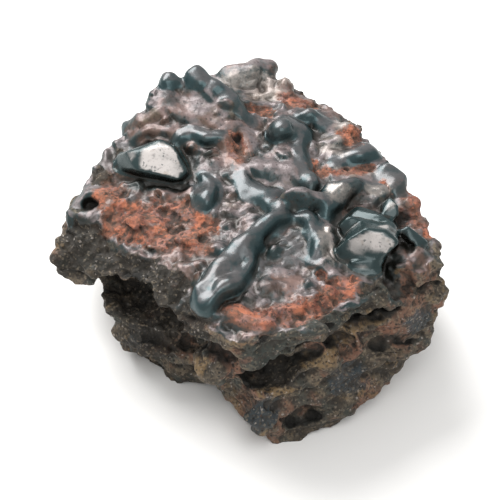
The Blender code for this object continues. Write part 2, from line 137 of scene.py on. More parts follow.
# Heights in mm: of coarse noise, fine noise and crumbs in the rock, of the same and ripples in the rust, and
# of coarse noise, undulation and fine noise in the glaze
ROCK_RELIEF = (0.7, 0.45, 0.3)
RUST_RELIEF = (0.6, 0.6, 0.35, 0.35)
GLAZE_RELIEF = (0.4, 0.7, 0.06)
CRUST_COARSENESS = 0.4

# Also in mm: how far the ledged walls are set back, the skirt of a rope rises, the ground round a chip sinks
# and the faces of the chips are rough. The crust is smoothed by a share each round.
LEDGE_SETBACK = 0.3
SKIRT_RISE = 0.25
MOAT_DEPTH = 0.55
CHIP_ROUGHNESS = 0.08
CRUST_SMOOTHING = 0.4

# Shares of the fine noise and the crumbs that make the stains' edges ragged, where a stain ends as a share of
# its size, and how much deeper it goes than it is wide
RAGGEDNESS = (0.5, 0.4)
STAIN_EDGE = (0.6, 1.4)
STAIN_DEPTH = 2 * MM

# A facet of a chip is painted white, as a highlight, where it faces nearly as its middle does, and out to
# this share of its radius
FACET_TURN = (0.94, 0.98)
FACET_CORE = 0.8
FACET_MOTTLE = 0.6

# How crowns and folds are told apart, for the painted shade in the folds: rounds of smoothing for the mean
# that a point is held against, and how much each counts. Then the upward part of the normal at which a top
# starts and is whole, for the painted sheen on the tops.
CROWNS = ((5, 2.5), (40, 0.5))
TOPS_TILT = (0.45, 0.98)

# How far a recess is looked out of, and in how many directions, to see how dark its painted shade is. The
# look starts just off the surface and leaves out what grazes it.
SKY_RAYS = 22
SKY_REACH = 7 * MM
SKY_START_MM = 0.2
GRAZING = 0.2

# Noise in the material is read at a second place too, so that two patterns don't coincide
ELSEWHERE_MM = (31, 17, 53)

# Chunks of the stone, each the hull of its corners: pixel across, pixel down, height in mm
CRUST = (
    (71, 208, 31), (64, 236, 27), (99, 173, 34), (127, 131, 35), (157, 101, 37), (192, 82, 38), (232, 74, 40),
    (262, 66, 40), (278, 74, 39), (303, 100, 37), (350, 125, 34), (360, 135, 34), (367, 159, 34),
    (402, 182, 34), (421, 214, 33), (434, 248, 31), (444, 274, 28), (242, 338, 31), (262, 340, 31),
    (330, 310, 32), (400, 272, 32), (54, 262, 23), (72, 272, 21), (92, 276, 20), (196, 337, 23),
    (250, 350, 26), (443, 298, 22), (432, 320, 19),
)
MOUND = (
    (122, 141, 35), (138, 119, 38), (158, 97, 42), (171, 83, 43), (194, 78, 44), (210, 80, 44), (226, 92, 43),
    (238, 106, 41), (244, 120, 38), (242, 158, 35), (225, 190, 34), (180, 190, 33), (130, 165, 34),
    (154, 114, 35), (188, 104, 35), (210, 106, 35), (235, 122, 34),
)
LEFT_KNOB = (
    (79, 196, 31), (91, 187, 33.5), (103, 191, 33.5), (108, 201, 32.5), (103, 213, 30), (89, 214, 29),
    (78, 208, 29), (94, 201, 26),
)
LEFT_FOOT = (
    (95, 282, 24), (107, 299, 21), (124, 318, 14), (133, 335, 8), (132, 352, 0), (154, 369, -0.5),
    (178, 383, -0.5), (203, 383, -0.5), (210, 352, 10), (200, 330, 20), (120, 270, 26), (180, 260, 26),
    (120, 240, 2), (230, 260, -2), (230, 330, -2), (160, 340, -2), (200, 358, -2),
)
FRONT_FOOT = (
    (216, 380, 5), (236, 399, 4), (252, 417, 3), (262, 435, 0), (281, 449, -1), (300, 440, -0.5),
    (331, 428, 0), (352, 405, 4), (391, 375, 6), (407, 358, 9), (428, 333, 13), (446, 304, 20),
    (214, 352, 16), (246, 352, 27), (330, 322, 28), (400, 284, 28), (230, 300, 28), (300, 300, -2),
    (360, 360, -2), (240, 340, -2), (280, 425, -2),
)
BACK = (
    (68, 224, 20), (82, 262, 16), (150, 205, 2), (104, 215, 6), (112, 262, 1), (268, 204, 2), (262, 116, 24),
    (190, 122, 24), (120, 150, 20), (330, 208, 3), (346, 154, 22), (418, 226, 20), (406, 266, 4),
    (438, 292, 18), (230, 300, -2), (300, 290, -2), (210, 245, -2), (320, 245, -2), (388, 320, -2),
    (262, 84, 35), (232, 92, 35), (190, 104, 33), (124, 150, 31), (98, 190, 30), (72, 224, 27),
    (303, 116, 33), (350, 142, 31), (402, 198, 31), (434, 262, 27),
)
CORE = (
    (200, 347, -2), (232, 376, -2), (320, 387, -2), (320, 321, -2), (200, 314, -2), (200, 244, 26),
    (230, 273, 27), (320, 280, 27), (320, 213, 27), (200, 206, 27),
)
CHIP_LEFT = (
    (120, 156, 36), (130, 153, 38.4), (143, 152, 39.4), (160, 143, 39.8), (171, 149, 39.6), (184, 170, 37.4),
    (176, 178, 37), (139, 169, 37.6), (120, 170, 34), (189, 181, 32), (150, 183, 31), (150, 154, 30),
    (182, 160, 32),
)
CHIP_RIGHT = (
    (340, 248, 34.5), (350, 240, 36.6), (366, 230, 38.4), (384, 232, 38), (396, 243, 36.6), (378, 258, 34),
    (366, 268, 32), (342, 264, 32), (350, 250, 27), (385, 240, 27), (370, 225, 27), (390, 222, 35),
    (362, 216, 34),
)
CHIP_RIGHT_LIP = (
    (352, 262, 33.6), (372, 262, 33.4), (384, 256, 33.8), (373, 277, 31), (356, 268, 32.4), (350, 262, 28),
    (386, 262, 28), (372, 272, 27),
)
CHIP_RIGHT_BACK = (
    (345, 224, 34.6), (360, 212, 35.6), (378, 216, 36.6), (392, 224, 36.4), (396, 236, 35), (350, 236, 33),
    (360, 212, 28), (390, 222, 28), (350, 240, 28),
)
ROCK = {
    "crust": CRUST,
    "mound": MOUND,
    "left_knob": LEFT_KNOB,
    "left_foot": LEFT_FOOT,
    "front_foot": FRONT_FOOT,
    "back": BACK,
    "core": CORE,
}
SHARD_TOP = (
    (384, 206, 35.2), (390, 201, 36.6), (395, 206, 36.4), (397, 214, 35.4), (390, 218, 34.8),
    (385, 212, 35.6), (390, 210, 32),
)
SHARD_LEFT = (
    (342, 226, 35.2), (349, 219, 36.4), (357, 221, 36.2), (354, 231, 34.8), (345, 233, 34.4), (350, 226, 32),
)
SHARD_RIGHT = (
    (402, 232, 34.8), (410, 229, 35.4), (424, 240, 33.8), (426, 246, 32.6), (412, 241, 34.0), (412, 238, 31),
)
CHIPS = {
    "chip_left": CHIP_LEFT,
    "chip_right": CHIP_RIGHT,
    "chip_right_lip": CHIP_RIGHT_LIP,
    "chip_right_back": CHIP_RIGHT_BACK,
    "shard_top": SHARD_TOP,
    "shard_left": SHARD_LEFT,
    "shard_right": SHARD_RIGHT,
}

# Directions that the walls face
LEFT_WALL = Vector((-0.64, -0.77, 0))
FRONT_WALL = Vector((0.1, -1, 0))
RIGHT_WALL = Vector((0.46, -0.89, 0))
LEFT_TOP = Vector((-0.5, -0.5, 0.7))
REAR_WALL = Vector((0.3, 1, 0))
LEFT_REAR = Vector((-1, 0.5, 0))
RIGHT_REAR = Vector((1, 0.35, 0))

# Hollows: pixel across, pixel down, height in mm or the surface's own, half its length, height and depth in
# mm, tilt in degrees, the way it faces
HOLLOWS = {
    "long_undercut": (147, 299, 22.5, 13.0, 6.4, 8.5, -8, LEFT_WALL),
    "undercut_end": (187, 343, 16.0, 5.5, 6.5, 7.0, -30, LEFT_WALL),
    "slit_over_boulder": (236, 335, None, 3.6, 1.5, 5.0, -5, FRONT_WALL),
    "cave": (267, 380, None, 7.2, 4.0, 9.0, -12, FRONT_WALL),
    "cave_chimney": (280, 366, None, 2.2, 3.0, 5.5, 0, FRONT_WALL),
    "shelf_pocket": (307, 347, None, 2.6, 1.9, 5.0, -4, RIGHT_WALL),
    "shelf_scoop": (306, 357, None, 3.4, 3.2, 2.6, 10, RIGHT_WALL),
    "trough": (340, 344, None, 6.2, 2.3, 3.6, 48, RIGHT_WALL),
    "trough_top": (360, 325, None, 4.6, 2.2, 4.2, 16, RIGHT_WALL),
    "long_slit": (380, 318, None, 5.6, 1.6, 6.5, 8, RIGHT_WALL),
    "slot_recess": (399, 279, None, 3.6, 4.6, 2.6, -4, RIGHT_WALL),
    "slot": (398, 277, None, 1.5, 4.0, 6.0, 12, RIGHT_WALL),
    "bottom_notch": (304, 418, None, 5.0, 2.4, 3.4, 14, RIGHT_WALL),
    "right_crevice": (429, 288, None, 3.2, 1.1, 2.8, 4, RIGHT_WALL),
    "low_slit": (414, 342, None, 2.2, 0.8, 2.4, 20, RIGHT_WALL),
    "small_pit": (314, 384, None, 1.0, 0.7, 1.8, 0, RIGHT_WALL),
    "band_pit": (341, 308, None, 0.9, 0.9, 1.6, 0, RIGHT_WALL),
    "band_pit_two": (355, 302, None, 0.8, 0.7, 1.4, 0, RIGHT_WALL),
    "band_slit": (330, 327, None, 1.4, 0.7, 2.2, 10, RIGHT_WALL),
    "left_hole": (91, 203, None, 2.3, 1.5, 3.6, -20, LEFT_TOP),
    "crumbled_hole": (168, 214, None, 2.6, 1.4, 1.3, 10, LEFT_TOP),
    "crumbled_hole_two": (180, 228, None, 1.8, 1.0, 1.2, -20, LEFT_TOP),
    "crumbled_hole_three": (146, 206, None, 1.6, 0.9, 1.0, 0, LEFT_TOP),
    "left_pinhole": (74, 226, None, 1.0, 1.0, 2.0, 0, LEFT_TOP),
    "left_dent": (84, 232, None, 1.6, 1.0, 1.8, 20, LEFT_TOP),
    "rear_notch": (332, 105, 34.0, 2.6, 3.4, 2.4, 0, RIGHT_REAR),
    "side_notch": (381, 147, 32.0, 2.4, 3.4, 2.2, 0, RIGHT_REAR),
}
BLIND_HOLLOWS = {
    "rear_cave": ((4, 34, 15), 6.5, 3.2, 5.0, 8, REAR_WALL),
    "rear_dent": ((-17, 33, 26), 5.0, 3.5, 4.0, -20, REAR_WALL),
    "rear_pocket": ((24, 30, 10), 4.0, 3.0, 4.0, 30, REAR_WALL),
    "left_rear_pocket": ((-37, 10, 19), 5.0, 3.2, 4.0, -15, LEFT_REAR),
    "right_rear_trough": ((39, 4, 20), 7.0, 2.6, 4.0, 12, RIGHT_REAR),
    "right_rear_dent": ((34, 18, 9), 3.5, 2.6, 3.5, 0, RIGHT_REAR),
}

# Broad, low swells under the ropes, and the ropes of the crust. First how far the middle line stands above
# the surface, as a share of the radius, then pixel across, pixel down, radius in mm
SWELLS = {
    "main_body": (-0.5, (251, 246, 3.0), (238, 262, 3.9), (224, 280, 4.3), (210, 297, 3.7)),
    "spine_body": (-0.5, (281, 132, 3.0), (284, 150, 3.0), (290, 168, 2.8), (301, 184, 2.0)),
    "fold_body": (-0.5, (256, 166, 2.4), (268, 171, 2.8), (278, 174, 2.4)),
    "tongue_body": (-0.4, (348, 190, 2.6), (338, 195, 3.2), (329, 205, 2.6)),
    "pale_band": (-0.5, (325, 230, 2.4), (328, 248, 2.5), (325, 266, 2.0)),
    "rust_shelf": (-0.6, (270, 314, 2.6), (300, 305, 3.0), (330, 292, 2.6)),
}
ROPES = {
    "main_upper": (0.1, (264, 200, 1.1), (272, 206, 1.6), (281, 213, 2.1), (277, 223, 2.3), (269, 228, 2.1),
        (258, 233, 1.9), (250, 241, 2.1)),
    "main_left": (-0.1, (251, 241, 2.1), (240, 248, 2.6), (229, 257, 2.1), (218, 268, 1.9), (208, 282, 2.1),
        (200, 296, 2.2), (203, 307, 1.6)),
    "main_right": (0.1, (251, 246, 1.3), (250, 257, 1.1), (247, 270, 1.4), (236, 281, 1.8), (221, 291, 1.8),
        (211, 302, 1.3)),
    "hook": (0.1, (286, 217, 1.0), (296, 217, 1.1), (306, 219, 1.3), (315, 227, 1.5), (318, 238, 1.3),
        (316, 250, 1.1), (314, 260, 0.8)),
    "spine": (0.0, (287, 124, 1.4), (296, 130, 1.9), (301, 142, 1.6), (300, 156, 1.3), (303, 170, 1.3),
        (308, 181, 1.7), (313, 193, 1.2)),
    "spine_side": (0.0, (290, 168, 0.8), (293, 176, 0.9), (299, 184, 0.9)),
    "fold_one": (-0.1, (257, 160, 0.9), (259, 168, 1.1), (262, 177, 0.9)),
    "fold_two": (-0.1, (269, 159, 0.9), (271, 169, 1.1), (273, 179, 0.9)),
    "fold_three": (-0.1, (282, 166, 0.9), (283, 176, 1.1), (286, 186, 0.9)),
    "dark_arch": (-0.2, (243, 180, 1.2), (248, 190, 1.8), (256, 197, 2.2), (266, 198, 1.9), (274, 192, 1.2)),
    "right_lobe": (0.0, (366, 153, 2.1), (357, 156, 1.7), (347, 160, 1.5), (337, 164, 1.1)),
    "tongue": (-0.3, (354, 184, 1.6), (343, 187, 2.3), (334, 194, 2.6), (328, 204, 2.4), (324, 213, 1.8)),
    "tongue_tail": (-0.1, (350, 184, 1.0), (362, 184, 0.9), (374, 186, 0.8), (384, 190, 0.7)),
    "shoulder_lobe": (-0.1, (402, 176, 1.4), (394, 170, 1.4), (385, 172, 1.1), (377, 177, 0.8)),
    "shoulder_drip": (-0.1, (393, 175, 1.0), (397, 184, 1.0), (401, 193, 0.8)),
    "arch": (-0.2, (303, 119, 1.1), (311, 115, 1.5), (319, 118, 1.6), (325, 125, 1.2)),
    "crest": (-0.3, (197, 80, 1.2), (208, 80, 1.5), (217, 84, 1.6), (225, 90, 1.5), (232, 98, 1.4),
        (239, 106, 1.3), (246, 116, 1.0), (253, 125, 0.7)),
    "crest_fold": (-0.2, (202, 86, 0.9), (207, 94, 1.0), (214, 101, 1.0)),
    "brow": (0.0, (175, 143, 0.6), (181, 137, 0.8), (189, 132, 1.1), (197, 134, 1.0), (205, 140, 1.2),
        (214, 142, 0.9), (221, 138, 0.6)),
    "drip": (0.0, (203, 179, 1.2), (208, 186, 1.8), (210, 196, 2.2), (206, 205, 1.9)),
    "small_drip": (-0.1, (214, 160, 0.9), (217, 165, 1.0), (214, 170, 0.7)),
    "eye": (0.0, (276, 131, 0.6), (280, 127, 0.6), (287, 127, 0.6), (290, 132, 0.6), (286, 137, 0.6),
        (279, 136, 0.6)),
    "hole_ring": (-0.1, (81, 203, 0.8), (84, 195, 0.9), (92, 191, 1.0), (101, 194, 1.1), (106, 203, 1.2),
        (103, 213, 1.1), (95, 218, 0.9), (86, 216, 0.7)),
    "left_edge": (-0.1, (104, 147, 0.9), (108, 156, 1.2), (112, 166, 1.1)),
    "rim_lip": (-0.1, (232, 314, 1.2), (243, 321, 1.5), (255, 327, 1.5), (266, 326, 1.1)),
    "curl": (-0.1, (262, 290, 0.8), (264, 280, 0.9), (274, 273, 1.0), (287, 275, 1.0), (297, 283, 0.8)),
    "curl_inner": (-0.1, (272, 289, 0.7), (276, 282, 0.8), (285, 284, 0.8), (288, 291, 0.6)),
    "pocket_rim": (-0.1, (226, 131, 0.7), (233, 125, 0.9), (242, 127, 0.9), (250, 136, 0.9), (250, 148, 0.8)),
    "pocket_side": (-0.1, (225, 138, 0.8), (226, 150, 0.8), (230, 160, 0.9), (238, 169, 0.9),
        (246, 172, 0.8)),
    "ring_dent": (-0.1, (147, 98, 0.6), (150, 92, 0.7), (160, 89, 0.7), (168, 93, 0.7), (170, 100, 0.6),
        (162, 105, 0.6), (152, 104, 0.6)),
    "mound_ledge": (0.0, (130, 121, 0.8), (141, 122, 1.0), (152, 120, 1.0), (161, 114, 0.8)),
    "mound_vein": (-0.2, (172, 104, 0.7), (180, 111, 0.9), (190, 116, 0.8), (203, 118, 0.8), (214, 124, 0.7)),
    "mound_fold": (-0.1, (134, 140, 0.7), (144, 133, 0.9), (155, 130, 0.9), (168, 133, 0.8)),
    "mound_roll": (-0.2, (190, 90, 0.8), (193, 99, 0.9), (200, 106, 0.9), (210, 112, 0.8)),
    "stripe": (-0.1, (336, 176, 0.7), (352, 176, 0.8), (368, 178, 0.8), (380, 181, 0.6)),
}

# Lumps: pixel across, pixel down, radius across, up and away in mm
GLOSSY_LUMPS = {
    "dome": (197, 78, 2.6, 2.3, 2.5),
    "bump": (169, 83, 2.3, 1.8, 2.1),
    "spine_knob": (283, 133, 2.7, 2.3, 2.2),
    "edge_knob": (122, 123, 1.3, 1.3, 1.2),
    "crest_lobe_one": (217, 87, 1.8, 1.5, 1.2),
    "crest_lobe_two": (230, 106, 1.9, 1.5, 1.2),
    "plate": (301, 208, 5.6, 4.6, 1.3),
    "white_lobe": (215, 252, 2.2, 1.8, 1.3),
    "shoulder_lump": (410, 206, 2.4, 2.0, 1.8),
    "light_plate": (337, 128, 2.4, 1.2, 1.6),
    "right_pad": (419, 255, 2.2, 2.0, 1.6),
    "pink_pad": (338, 142, 2.2, 1.2, 1.4),
    "rear_lobe": (238, 75, 4.4, 2.0, 3.0),
    "rear_head": (262, 68, 3.0, 2.0, 2.6),
    "rear_shoulder": (283, 86, 1.5, 1.5, 1.8),
}
# Ropes and lumps with a strong glaze; the rest carry the crust's mauve-grey tops, lighter as painted sheen
GLAZED = (
    "main_upper", "main_left", "main_right", "hook", "spine", "dark_arch", "right_lobe", "tongue",
    "tongue_tail", "shoulder_lobe", "shoulder_drip", "arch", "crest", "brow", "drip", "spine_knob",
    "edge_knob", "dome", "bump",
)
ROUGH_LUMPS = {
    "boulder": (225, 357, 5.2, 4.4, 4.6),
    "second_bump": (156, 94, 1.5, 1.3, 1.8),
    "right_knob": (351, 132, 2.5, 2.6, 2.6),
    "rust_clod_one": (138, 222, 2.8, 0.9, 2.2),
    "rust_clod_two": (188, 238, 3.0, 1.3, 2.4),
    "rust_clod_three": (118, 204, 2.6, 0.9, 2.0),
    "rust_clod_four": (158, 242, 2.6, 0.9, 2.0),
    "rust_clod_five": (196, 216, 2.0, 1.0, 1.8),
    "pebble": (82, 244, 2.3, 2.1, 1.8),
    "left_tip": (62, 262, 2.2, 1.8, 3.2),
    "right_end": (436, 268, 2.0, 2.2, 2.0),
    "wall_ledge": (385, 350, 5.5, 1.6, 2.2),
    "band_ledge": (300, 330, 5.0, 1.4, 1.6),
    "foot_ledge": (160, 345, 5.0, 1.8, 2.0),
    "corner_boss": (262, 414, 3.0, 3.4, 2.4),
}

# Stains, the patches that the crust leaves bare, and some painted shade and highlight: pixel across, pixel
# down, half its length and height in pixels, tilt in degrees
STAINS = {
    "rust": (
        (112, 194, 15, 12, 30), (128, 216, 24, 18, 10), (160, 214, 26, 15, 0), (186, 210, 18, 16, 0),
        (160, 236, 34, 13, -6), (194, 236, 13, 20, 10), (110, 222, 9, 16, 0), (206, 226, 14, 12, 0),
        (236, 148, 8, 17, 12), (260, 111, 15, 7, -4), (300, 102, 19, 9, -18), (353, 137, 14, 14, 0),
        (311, 166, 7, 10, 0), (326, 172, 12, 5, 0), (358, 170, 22, 4, 6), (386, 183, 9, 4, 0),
        (404, 188, 12, 12, -30), (418, 210, 12, 16, -20), (430, 230, 7, 10, -10), (400, 214, 10, 8, 0),
        (338, 289, 20, 11, 24), (318, 302, 20, 9, 20), (292, 312, 24, 10, 10), (262, 318, 20, 10, -6),
        (238, 312, 20, 8, -12), (322, 276, 5, 5, 0), (344, 212, 5, 6, 0), (353, 236, 5, 6, 0),
        (276, 201, 7, 4, 0), (322, 308, 10, 4, 15),
    ),
    "bare": (
        (84, 240, 27, 22, 0), (70, 262, 24, 11, 0), (120, 264, 36, 15, -8), (160, 286, 32, 24, -25),
        (190, 324, 20, 24, 0), (106, 204, 13, 18, 20), (105, 168, 11, 26, -25), (84, 205, 16, 16, 0),
        (440, 270, 14, 30, 0), (420, 285, 26, 12, 0), (378, 290, 20, 12, 20), (330, 322, 40, 10, 14),
        (270, 342, 28, 10, 14),
    ),
    "tan": (
        (338, 344, 13, 20, -42), (372, 322, 16, 6, 8), (268, 393, 26, 6, 6), (390, 270, 9, 14, 0),
        (201, 364, 9, 9, -10), (350, 330, 10, 8, 20), (120, 296, 24, 6, -20), (310, 362, 12, 10, 0),
        (330, 140, 26, 12, -10), (235, 180, 8, 12, 0),
    ),
    "warm": (
        (226, 350, 22, 13, -14), (407, 282, 8, 20, -4), (260, 325, 16, 6, -10), (248, 396, 18, 10, 0),
        (385, 330, 14, 8, 10), (440, 310, 7, 9, 0), (150, 190, 20, 9, 0), (236, 372, 12, 10, 0),
        (240, 322, 14, 7, -8), (281, 284, 20, 13, 0), (222, 275, 5, 16, 30), (238, 152, 13, 22, 0),
        (208, 226, 14, 10, 0), (190, 150, 10, 8, 0), (248, 320, 18, 8, -8), (318, 342, 14, 10, 0),
        (352, 352, 20, 10, 20),
    ),
    # Very dark brown on the left; under the crust's lip and under the left chip it is partly painted shade
    "umber": (
        (84, 238, 32, 26, 0), (72, 264, 26, 12, 0), (118, 262, 36, 16, -8), (158, 286, 34, 24, -30),
        (190, 322, 22, 26, 0), (130, 300, 42, 18, -10), (150, 334, 34, 24, 0), (243, 298, 13, 8, 0),
        (106, 166, 12, 26, -25), (270, 370, 36, 16, 0), (270, 288, 18, 10, 0), (212, 236, 12, 10, 0),
        (232, 222, 12, 12, 0), (222, 186, 9, 10, 0), (204, 160, 9, 10, 0), (176, 222, 12, 9, 0),
        (134, 191, 26, 7, 0), (320, 100, 10, 5, 0), (310, 138, 10, 12, 0), (346, 212, 10, 8, 0),
        (160, 330, 30, 26, 0),
    ),
    # Dark glaze in the pool and arch; painted shade on the ropes' shaded sides and under the chips
    "dark_glaze_and_shade": (
        (294, 246, 21, 16, 0), (262, 264, 8, 24, 10), (250, 190, 20, 12, -20), (240, 100, 6, 16, 40),
        (232, 330, 16, 6, 0), (350, 262, 20, 10, 0), (192, 160, 10, 14, 0), (318, 96, 12, 5, 0),
        (150, 186, 34, 6, -6),
    ),
    "slate": (
        (272, 348, 30, 17, 22), (322, 322, 40, 11, 14), (360, 300, 20, 9, 20), (395, 292, 12, 14, 0),
        (200, 340, 12, 16, 0), (90, 262, 34, 9, -6), (150, 266, 30, 9, -14), (180, 300, 20, 12, -40),
        (232, 330, 14, 6, -10),
    ),
    "grit": (
        (262, 415, 20, 17, 0), (350, 380, 24, 18, 0), (140, 336, 20, 20, 0), (420, 322, 18, 16, 0),
    ),
    # Beige: a pale tone at the rear, partly painted light; painted highlight on the tongue and its tail
    "pale": (
        (344, 138, 14, 8, 0), (258, 84, 30, 15, 0), (236, 82, 16, 14, 0), (280, 78, 16, 12, 0),
        (272, 94, 22, 8, 0), (345, 124, 14, 7, 0), (334, 150, 16, 8, 0), (338, 192, 17, 10, -20),
        (327, 246, 8, 24, 0), (350, 172, 24, 5, 0), (376, 190, 14, 6, 0),
    ),
}

# Facets of the chips painted white as a highlight, where they catch the light: pixel across, pixel down,
# radius in mm, how white
FACET_HIGHLIGHTS = (
    (166, 160, 5.6, 0.95), (131, 155, 1.3, 0.6), (358, 245, 2.2, 0.6), (374, 240, 2.4, 0.75),
    (386, 245, 1.8, 0.7), (386, 227, 1.6, 0.6), (363, 270, 1.4, 0.5), (391, 207, 1.2, 0.5),
)

# Square soft lights: place in metres, share of the set power
LIGHTS = (
    ("key_light", (-0.28, 0.36, 0.56), 1.0),
    ("front_light", (0.12, -0.42, 0.70), 0.35),
)


def linear(code):
    """A colour from its sRGB hex code, as the renderer wants it."""
    parts = [int(code[start:start + 2], 16) / 255 for start in (1, 3, 5)]
    return (*(part / 12.92 if part <= 0.04045 else ((part + 0.055) / 1.055) ** 2.4 for part in parts), 1)


def length_setting(label, description, millimetres, least=0, most=2):
    """A setting for a length, given here in millimetres."""
    return FloatProperty(
        name=label, description=description, default=millimetres * MM, min=least * MM, max=most * MM,
        subtype="DISTANCE", precision=5)


def colour_setting(label, description, code):
    """A setting for a colour, given here by its sRGB hex code."""
    return FloatVectorProperty(
        name=label, description=description, default=linear(code), size=4, min=0, max=1, subtype="COLOR")


class StoneSettings(bpy.types.PropertyGroup):
    """Sizes of the stone's finer relief."""

    grain: length_setting("Mesh grain", "Spacing of the points on which the stone is fused", 0.36, 0.25)
    most_triangles: IntProperty(
        name="Most triangles", description="The stone's mesh is thinned to this many", default=190000,
        min=5000, max=199000)
    blend_rounds: IntProperty(
        name="Blend rounds", description="How softly the ropes run into the crust", default=18, min=0, max=60)
    swell_height: length_setting("Swell height", "Height of the rounded swells in the crust", 1.2)
    ripple_height: length_setting("Ripple height", "Height of the small swells on the large ones", 0.25)
    dent_depth: length_setting("Dent depth", "Depth of the burst bubbles in the crust", 0.45)
    lip_height: length_setting("Lip height", "Height of the thin wrinkles in the crust", 0.5)
    ledge_height: length_setting("Ledge height", "How far the broken steps in the walls stand out", 1.0)
    pit_depth: length_setting("Pit depth", "Depth of the open bubbles in the rock", 0.9)
    crumble_depth: length_setting("Crumble depth", "How deep the rusty patches are eaten away", 0.55)


class ColourSettings(bpy.types.PropertyGroup):
    """The stone's colours."""

    matrix: colour_setting("Matrix", "The dark rock between its grains", "#615647")
    # Dark grains in the rock, and also the painted shade in folds and creases
    dark_grains_and_crease_shade: colour_setting("Dark matrix", "The darkest grains and hollows", "#302b25")
    matrix_light: colour_setting("Light grains", "Quartz and altered grains in the rock", "#8d7f6c")
    rust: colour_setting("Rust", "Iron stain on broken faces", "#74473a")
    rust_bright: colour_setting("Bright rust", "Powdery, freshest iron stain", "#b06a4d")
    # Painted sheen on the crust's tops, lighter than the teal sides; also a mauve tone in the rust and on the
    # facets
    skin: colour_setting("Crust, worn tops", "Mauve-grey bloom on the tops of the folds", "#796e6e")
    # The crust's dark teal ground: its sides keep it beside the painted sheen and read as shaded; also the
    # chips' body
    skin_dark: colour_setting("Crust, sides", "Dark teal glaze on the sides of the folds", "#243536")
    glaze: colour_setting("Glaze", "Semi-metallic dark glaze on the thick ropes", "#33474a")
    slate: colour_setting("Slate band", "The fine, dark cut through the crust", "#2f3531")
    # Very dark brown on the left; under the crust's lip and under the left chip it is partly painted shade
    umber: colour_setting("Umber", "Dark brown rock under the lip on the left", "#1d1912")
    grit: colour_setting("Blue-black grit", "Where cassiterite crowds in the rock", "#2a343a")
    tan: colour_setting("Tan", "Limonite on the floors of the hollows", "#7f6746")
    warm: colour_setting("Red-brown", "Haematite stain in the recesses", "#74503f")
    # Beige: a pale tone at the rear, partly painted light, and light grains; painted highlight on the tongue
    pale: colour_setting("Beige", "Bleached rock along the rear edge", "#a59b93")
    shadow: colour_setting("Recesses", "Dirt and shade deep in the folds and hollows", "#14130f")
    # Painted highlight: the chips' facets painted white where they catch the light
    white: colour_setting("Chipped face", "The bright broken face of the left chip", "#bdb7b3")


class StudioSettings(bpy.types.PropertyGroup):
    """The floor, the light and the surroundings."""

    floor_colour: colour_setting("Floor", "Plain pale floor", "#f2f1ef")
    light_width: FloatProperty(
        name="Light width", description="Side of each square soft light", default=0.5, min=0.05, max=2,
        subtype="DISTANCE")
    light_power: FloatProperty(
        name="Light power", description="Power of the key light in watts", default=7.0, min=0, max=50)
    surroundings: FloatProperty(
        name="Surroundings", description="Strength of the even light from all round", default=0.7, min=0,
        max=5)


def sight(across, down):
    """The direction in which a pixel is seen from the viewpoint."""
    right = (across - PICTURE_CENTRE[0]) * PIXEL
    up = (PICTURE_CENTRE[1] - down) * PIXEL
    return (FORWARD * VIEW_DISTANCE + RIGHTWARD * right + UPWARD * up).normalized()


def at_height(across, down, height_mm):
    """The point of that height which a pixel shows, or would show through a clear stone."""
    direction = sight(across, down)
    return VIEWPOINT + direction * ((height_mm * MM - VIEWPOINT.z) / direction.z)


def on_surface(surface, across, down):
    """Where the sight through a pixel meets the stone or passes nearest to it, and the normal there."""
    direction = sight(across, down)
    place, normal, _, _ = surface.ray_cast(VIEWPOINT, direction)
    if place is None:
        tries = [VIEWPOINT + direction * (VIEW_DISTANCE + step * MM) for step in SEARCH_STEPS_MM]
        found = [surface.find_nearest(point) for point in tries]
        place, normal, _, _ = min(found, key=lambda hit: hit[3])
    return place, normal


def surface_of(thing):
    return BVHTree.FromObject(thing, bpy.context.evaluated_depsgraph_get())


def select_only(things):
    """Makes these the whole selection, and the first one active."""
    bpy.ops.object.select_all(action="DESELECT")
    for thing in things:
        thing.select_set(True)
    bpy.context.view_layer.objects.active = things[0]


def finish_modifier(thing, kind, **settings):
    """Adds a modifier with these settings and applies it."""
    select_only([thing])
    step = thing.modifiers.new(kind.lower(), kind)
    for name, value in settings.items():
        setattr(step, name, value)
    bpy.ops.object.modifier_apply(modifier=step.name)


def discard(things):
    for thing in things:
        bpy.data.objects.remove(thing, do_unlink=True)


def chunk(name, corners):
    """A piece of broken rock: the hull of its corners."""
    places = [at_height(*corner) for corner in corners]
    middle = sum(places, Vector()) / len(places)
    bpy.ops.mesh.primitive_circle_add(vertices=len(places), radius=MM)
    piece = bpy.context.object
    piece.name = name
    for vertex, place in zip(piece.data.vertices, places):
        vertex.co = place + (place - middle).normalized() * CORNER_WEAR
    piece.matrix_world = Matrix.Identity(4)
    bpy.ops.object.mode_set(mode="EDIT")
    bpy.ops.mesh.select_all(action="SELECT")
    bpy.ops.mesh.convex_hull(use_existing_faces=False)
    bpy.ops.mesh.select_all(action="SELECT")
    bpy.ops.mesh.normals_make_consistent(inside=False)
    bpy.ops.object.mode_set(mode="OBJECT")
    return piece


def uneven_ball(name, place, axes, radii, unevenness):
    """A ball with these radii along these axes, its surface pushed in and out by a share of its size."""
    bpy.ops.mesh.primitive_ico_sphere_add(subdivisions=4, radius=1, location=(0, 0, 0))
    ball = bpy.context.object
    ball.name = name
    turn = Matrix(axes).transposed()
    for vertex in ball.data.vertices:
        swell = 1 + unevenness * noise.noise(vertex.co * BALL_NOISE_SCALE + place / BALL_NOISE_SPREAD)
        vertex.co = place + turn @ Vector([r * c * swell for r, c in zip(radii, vertex.co)])
    return ball


def hollow(name, place, half_length, half_height, half_depth, tilt, facing):
    """The cutter for a hollow in a wall that faces one way."""
    out = facing.normalized()
    along = Vector((0, 0, 1)).cross(out).normalized()
    along.rotate(Matrix.Rotation(math.radians(-tilt), 3, out))
    up = out.cross(along)
    radii = (half_length * MM, half_height * MM, half_depth * MM)
    return uneven_ball(name, place, (along, up, out), radii, HOLLOW_UNEVENNESS)


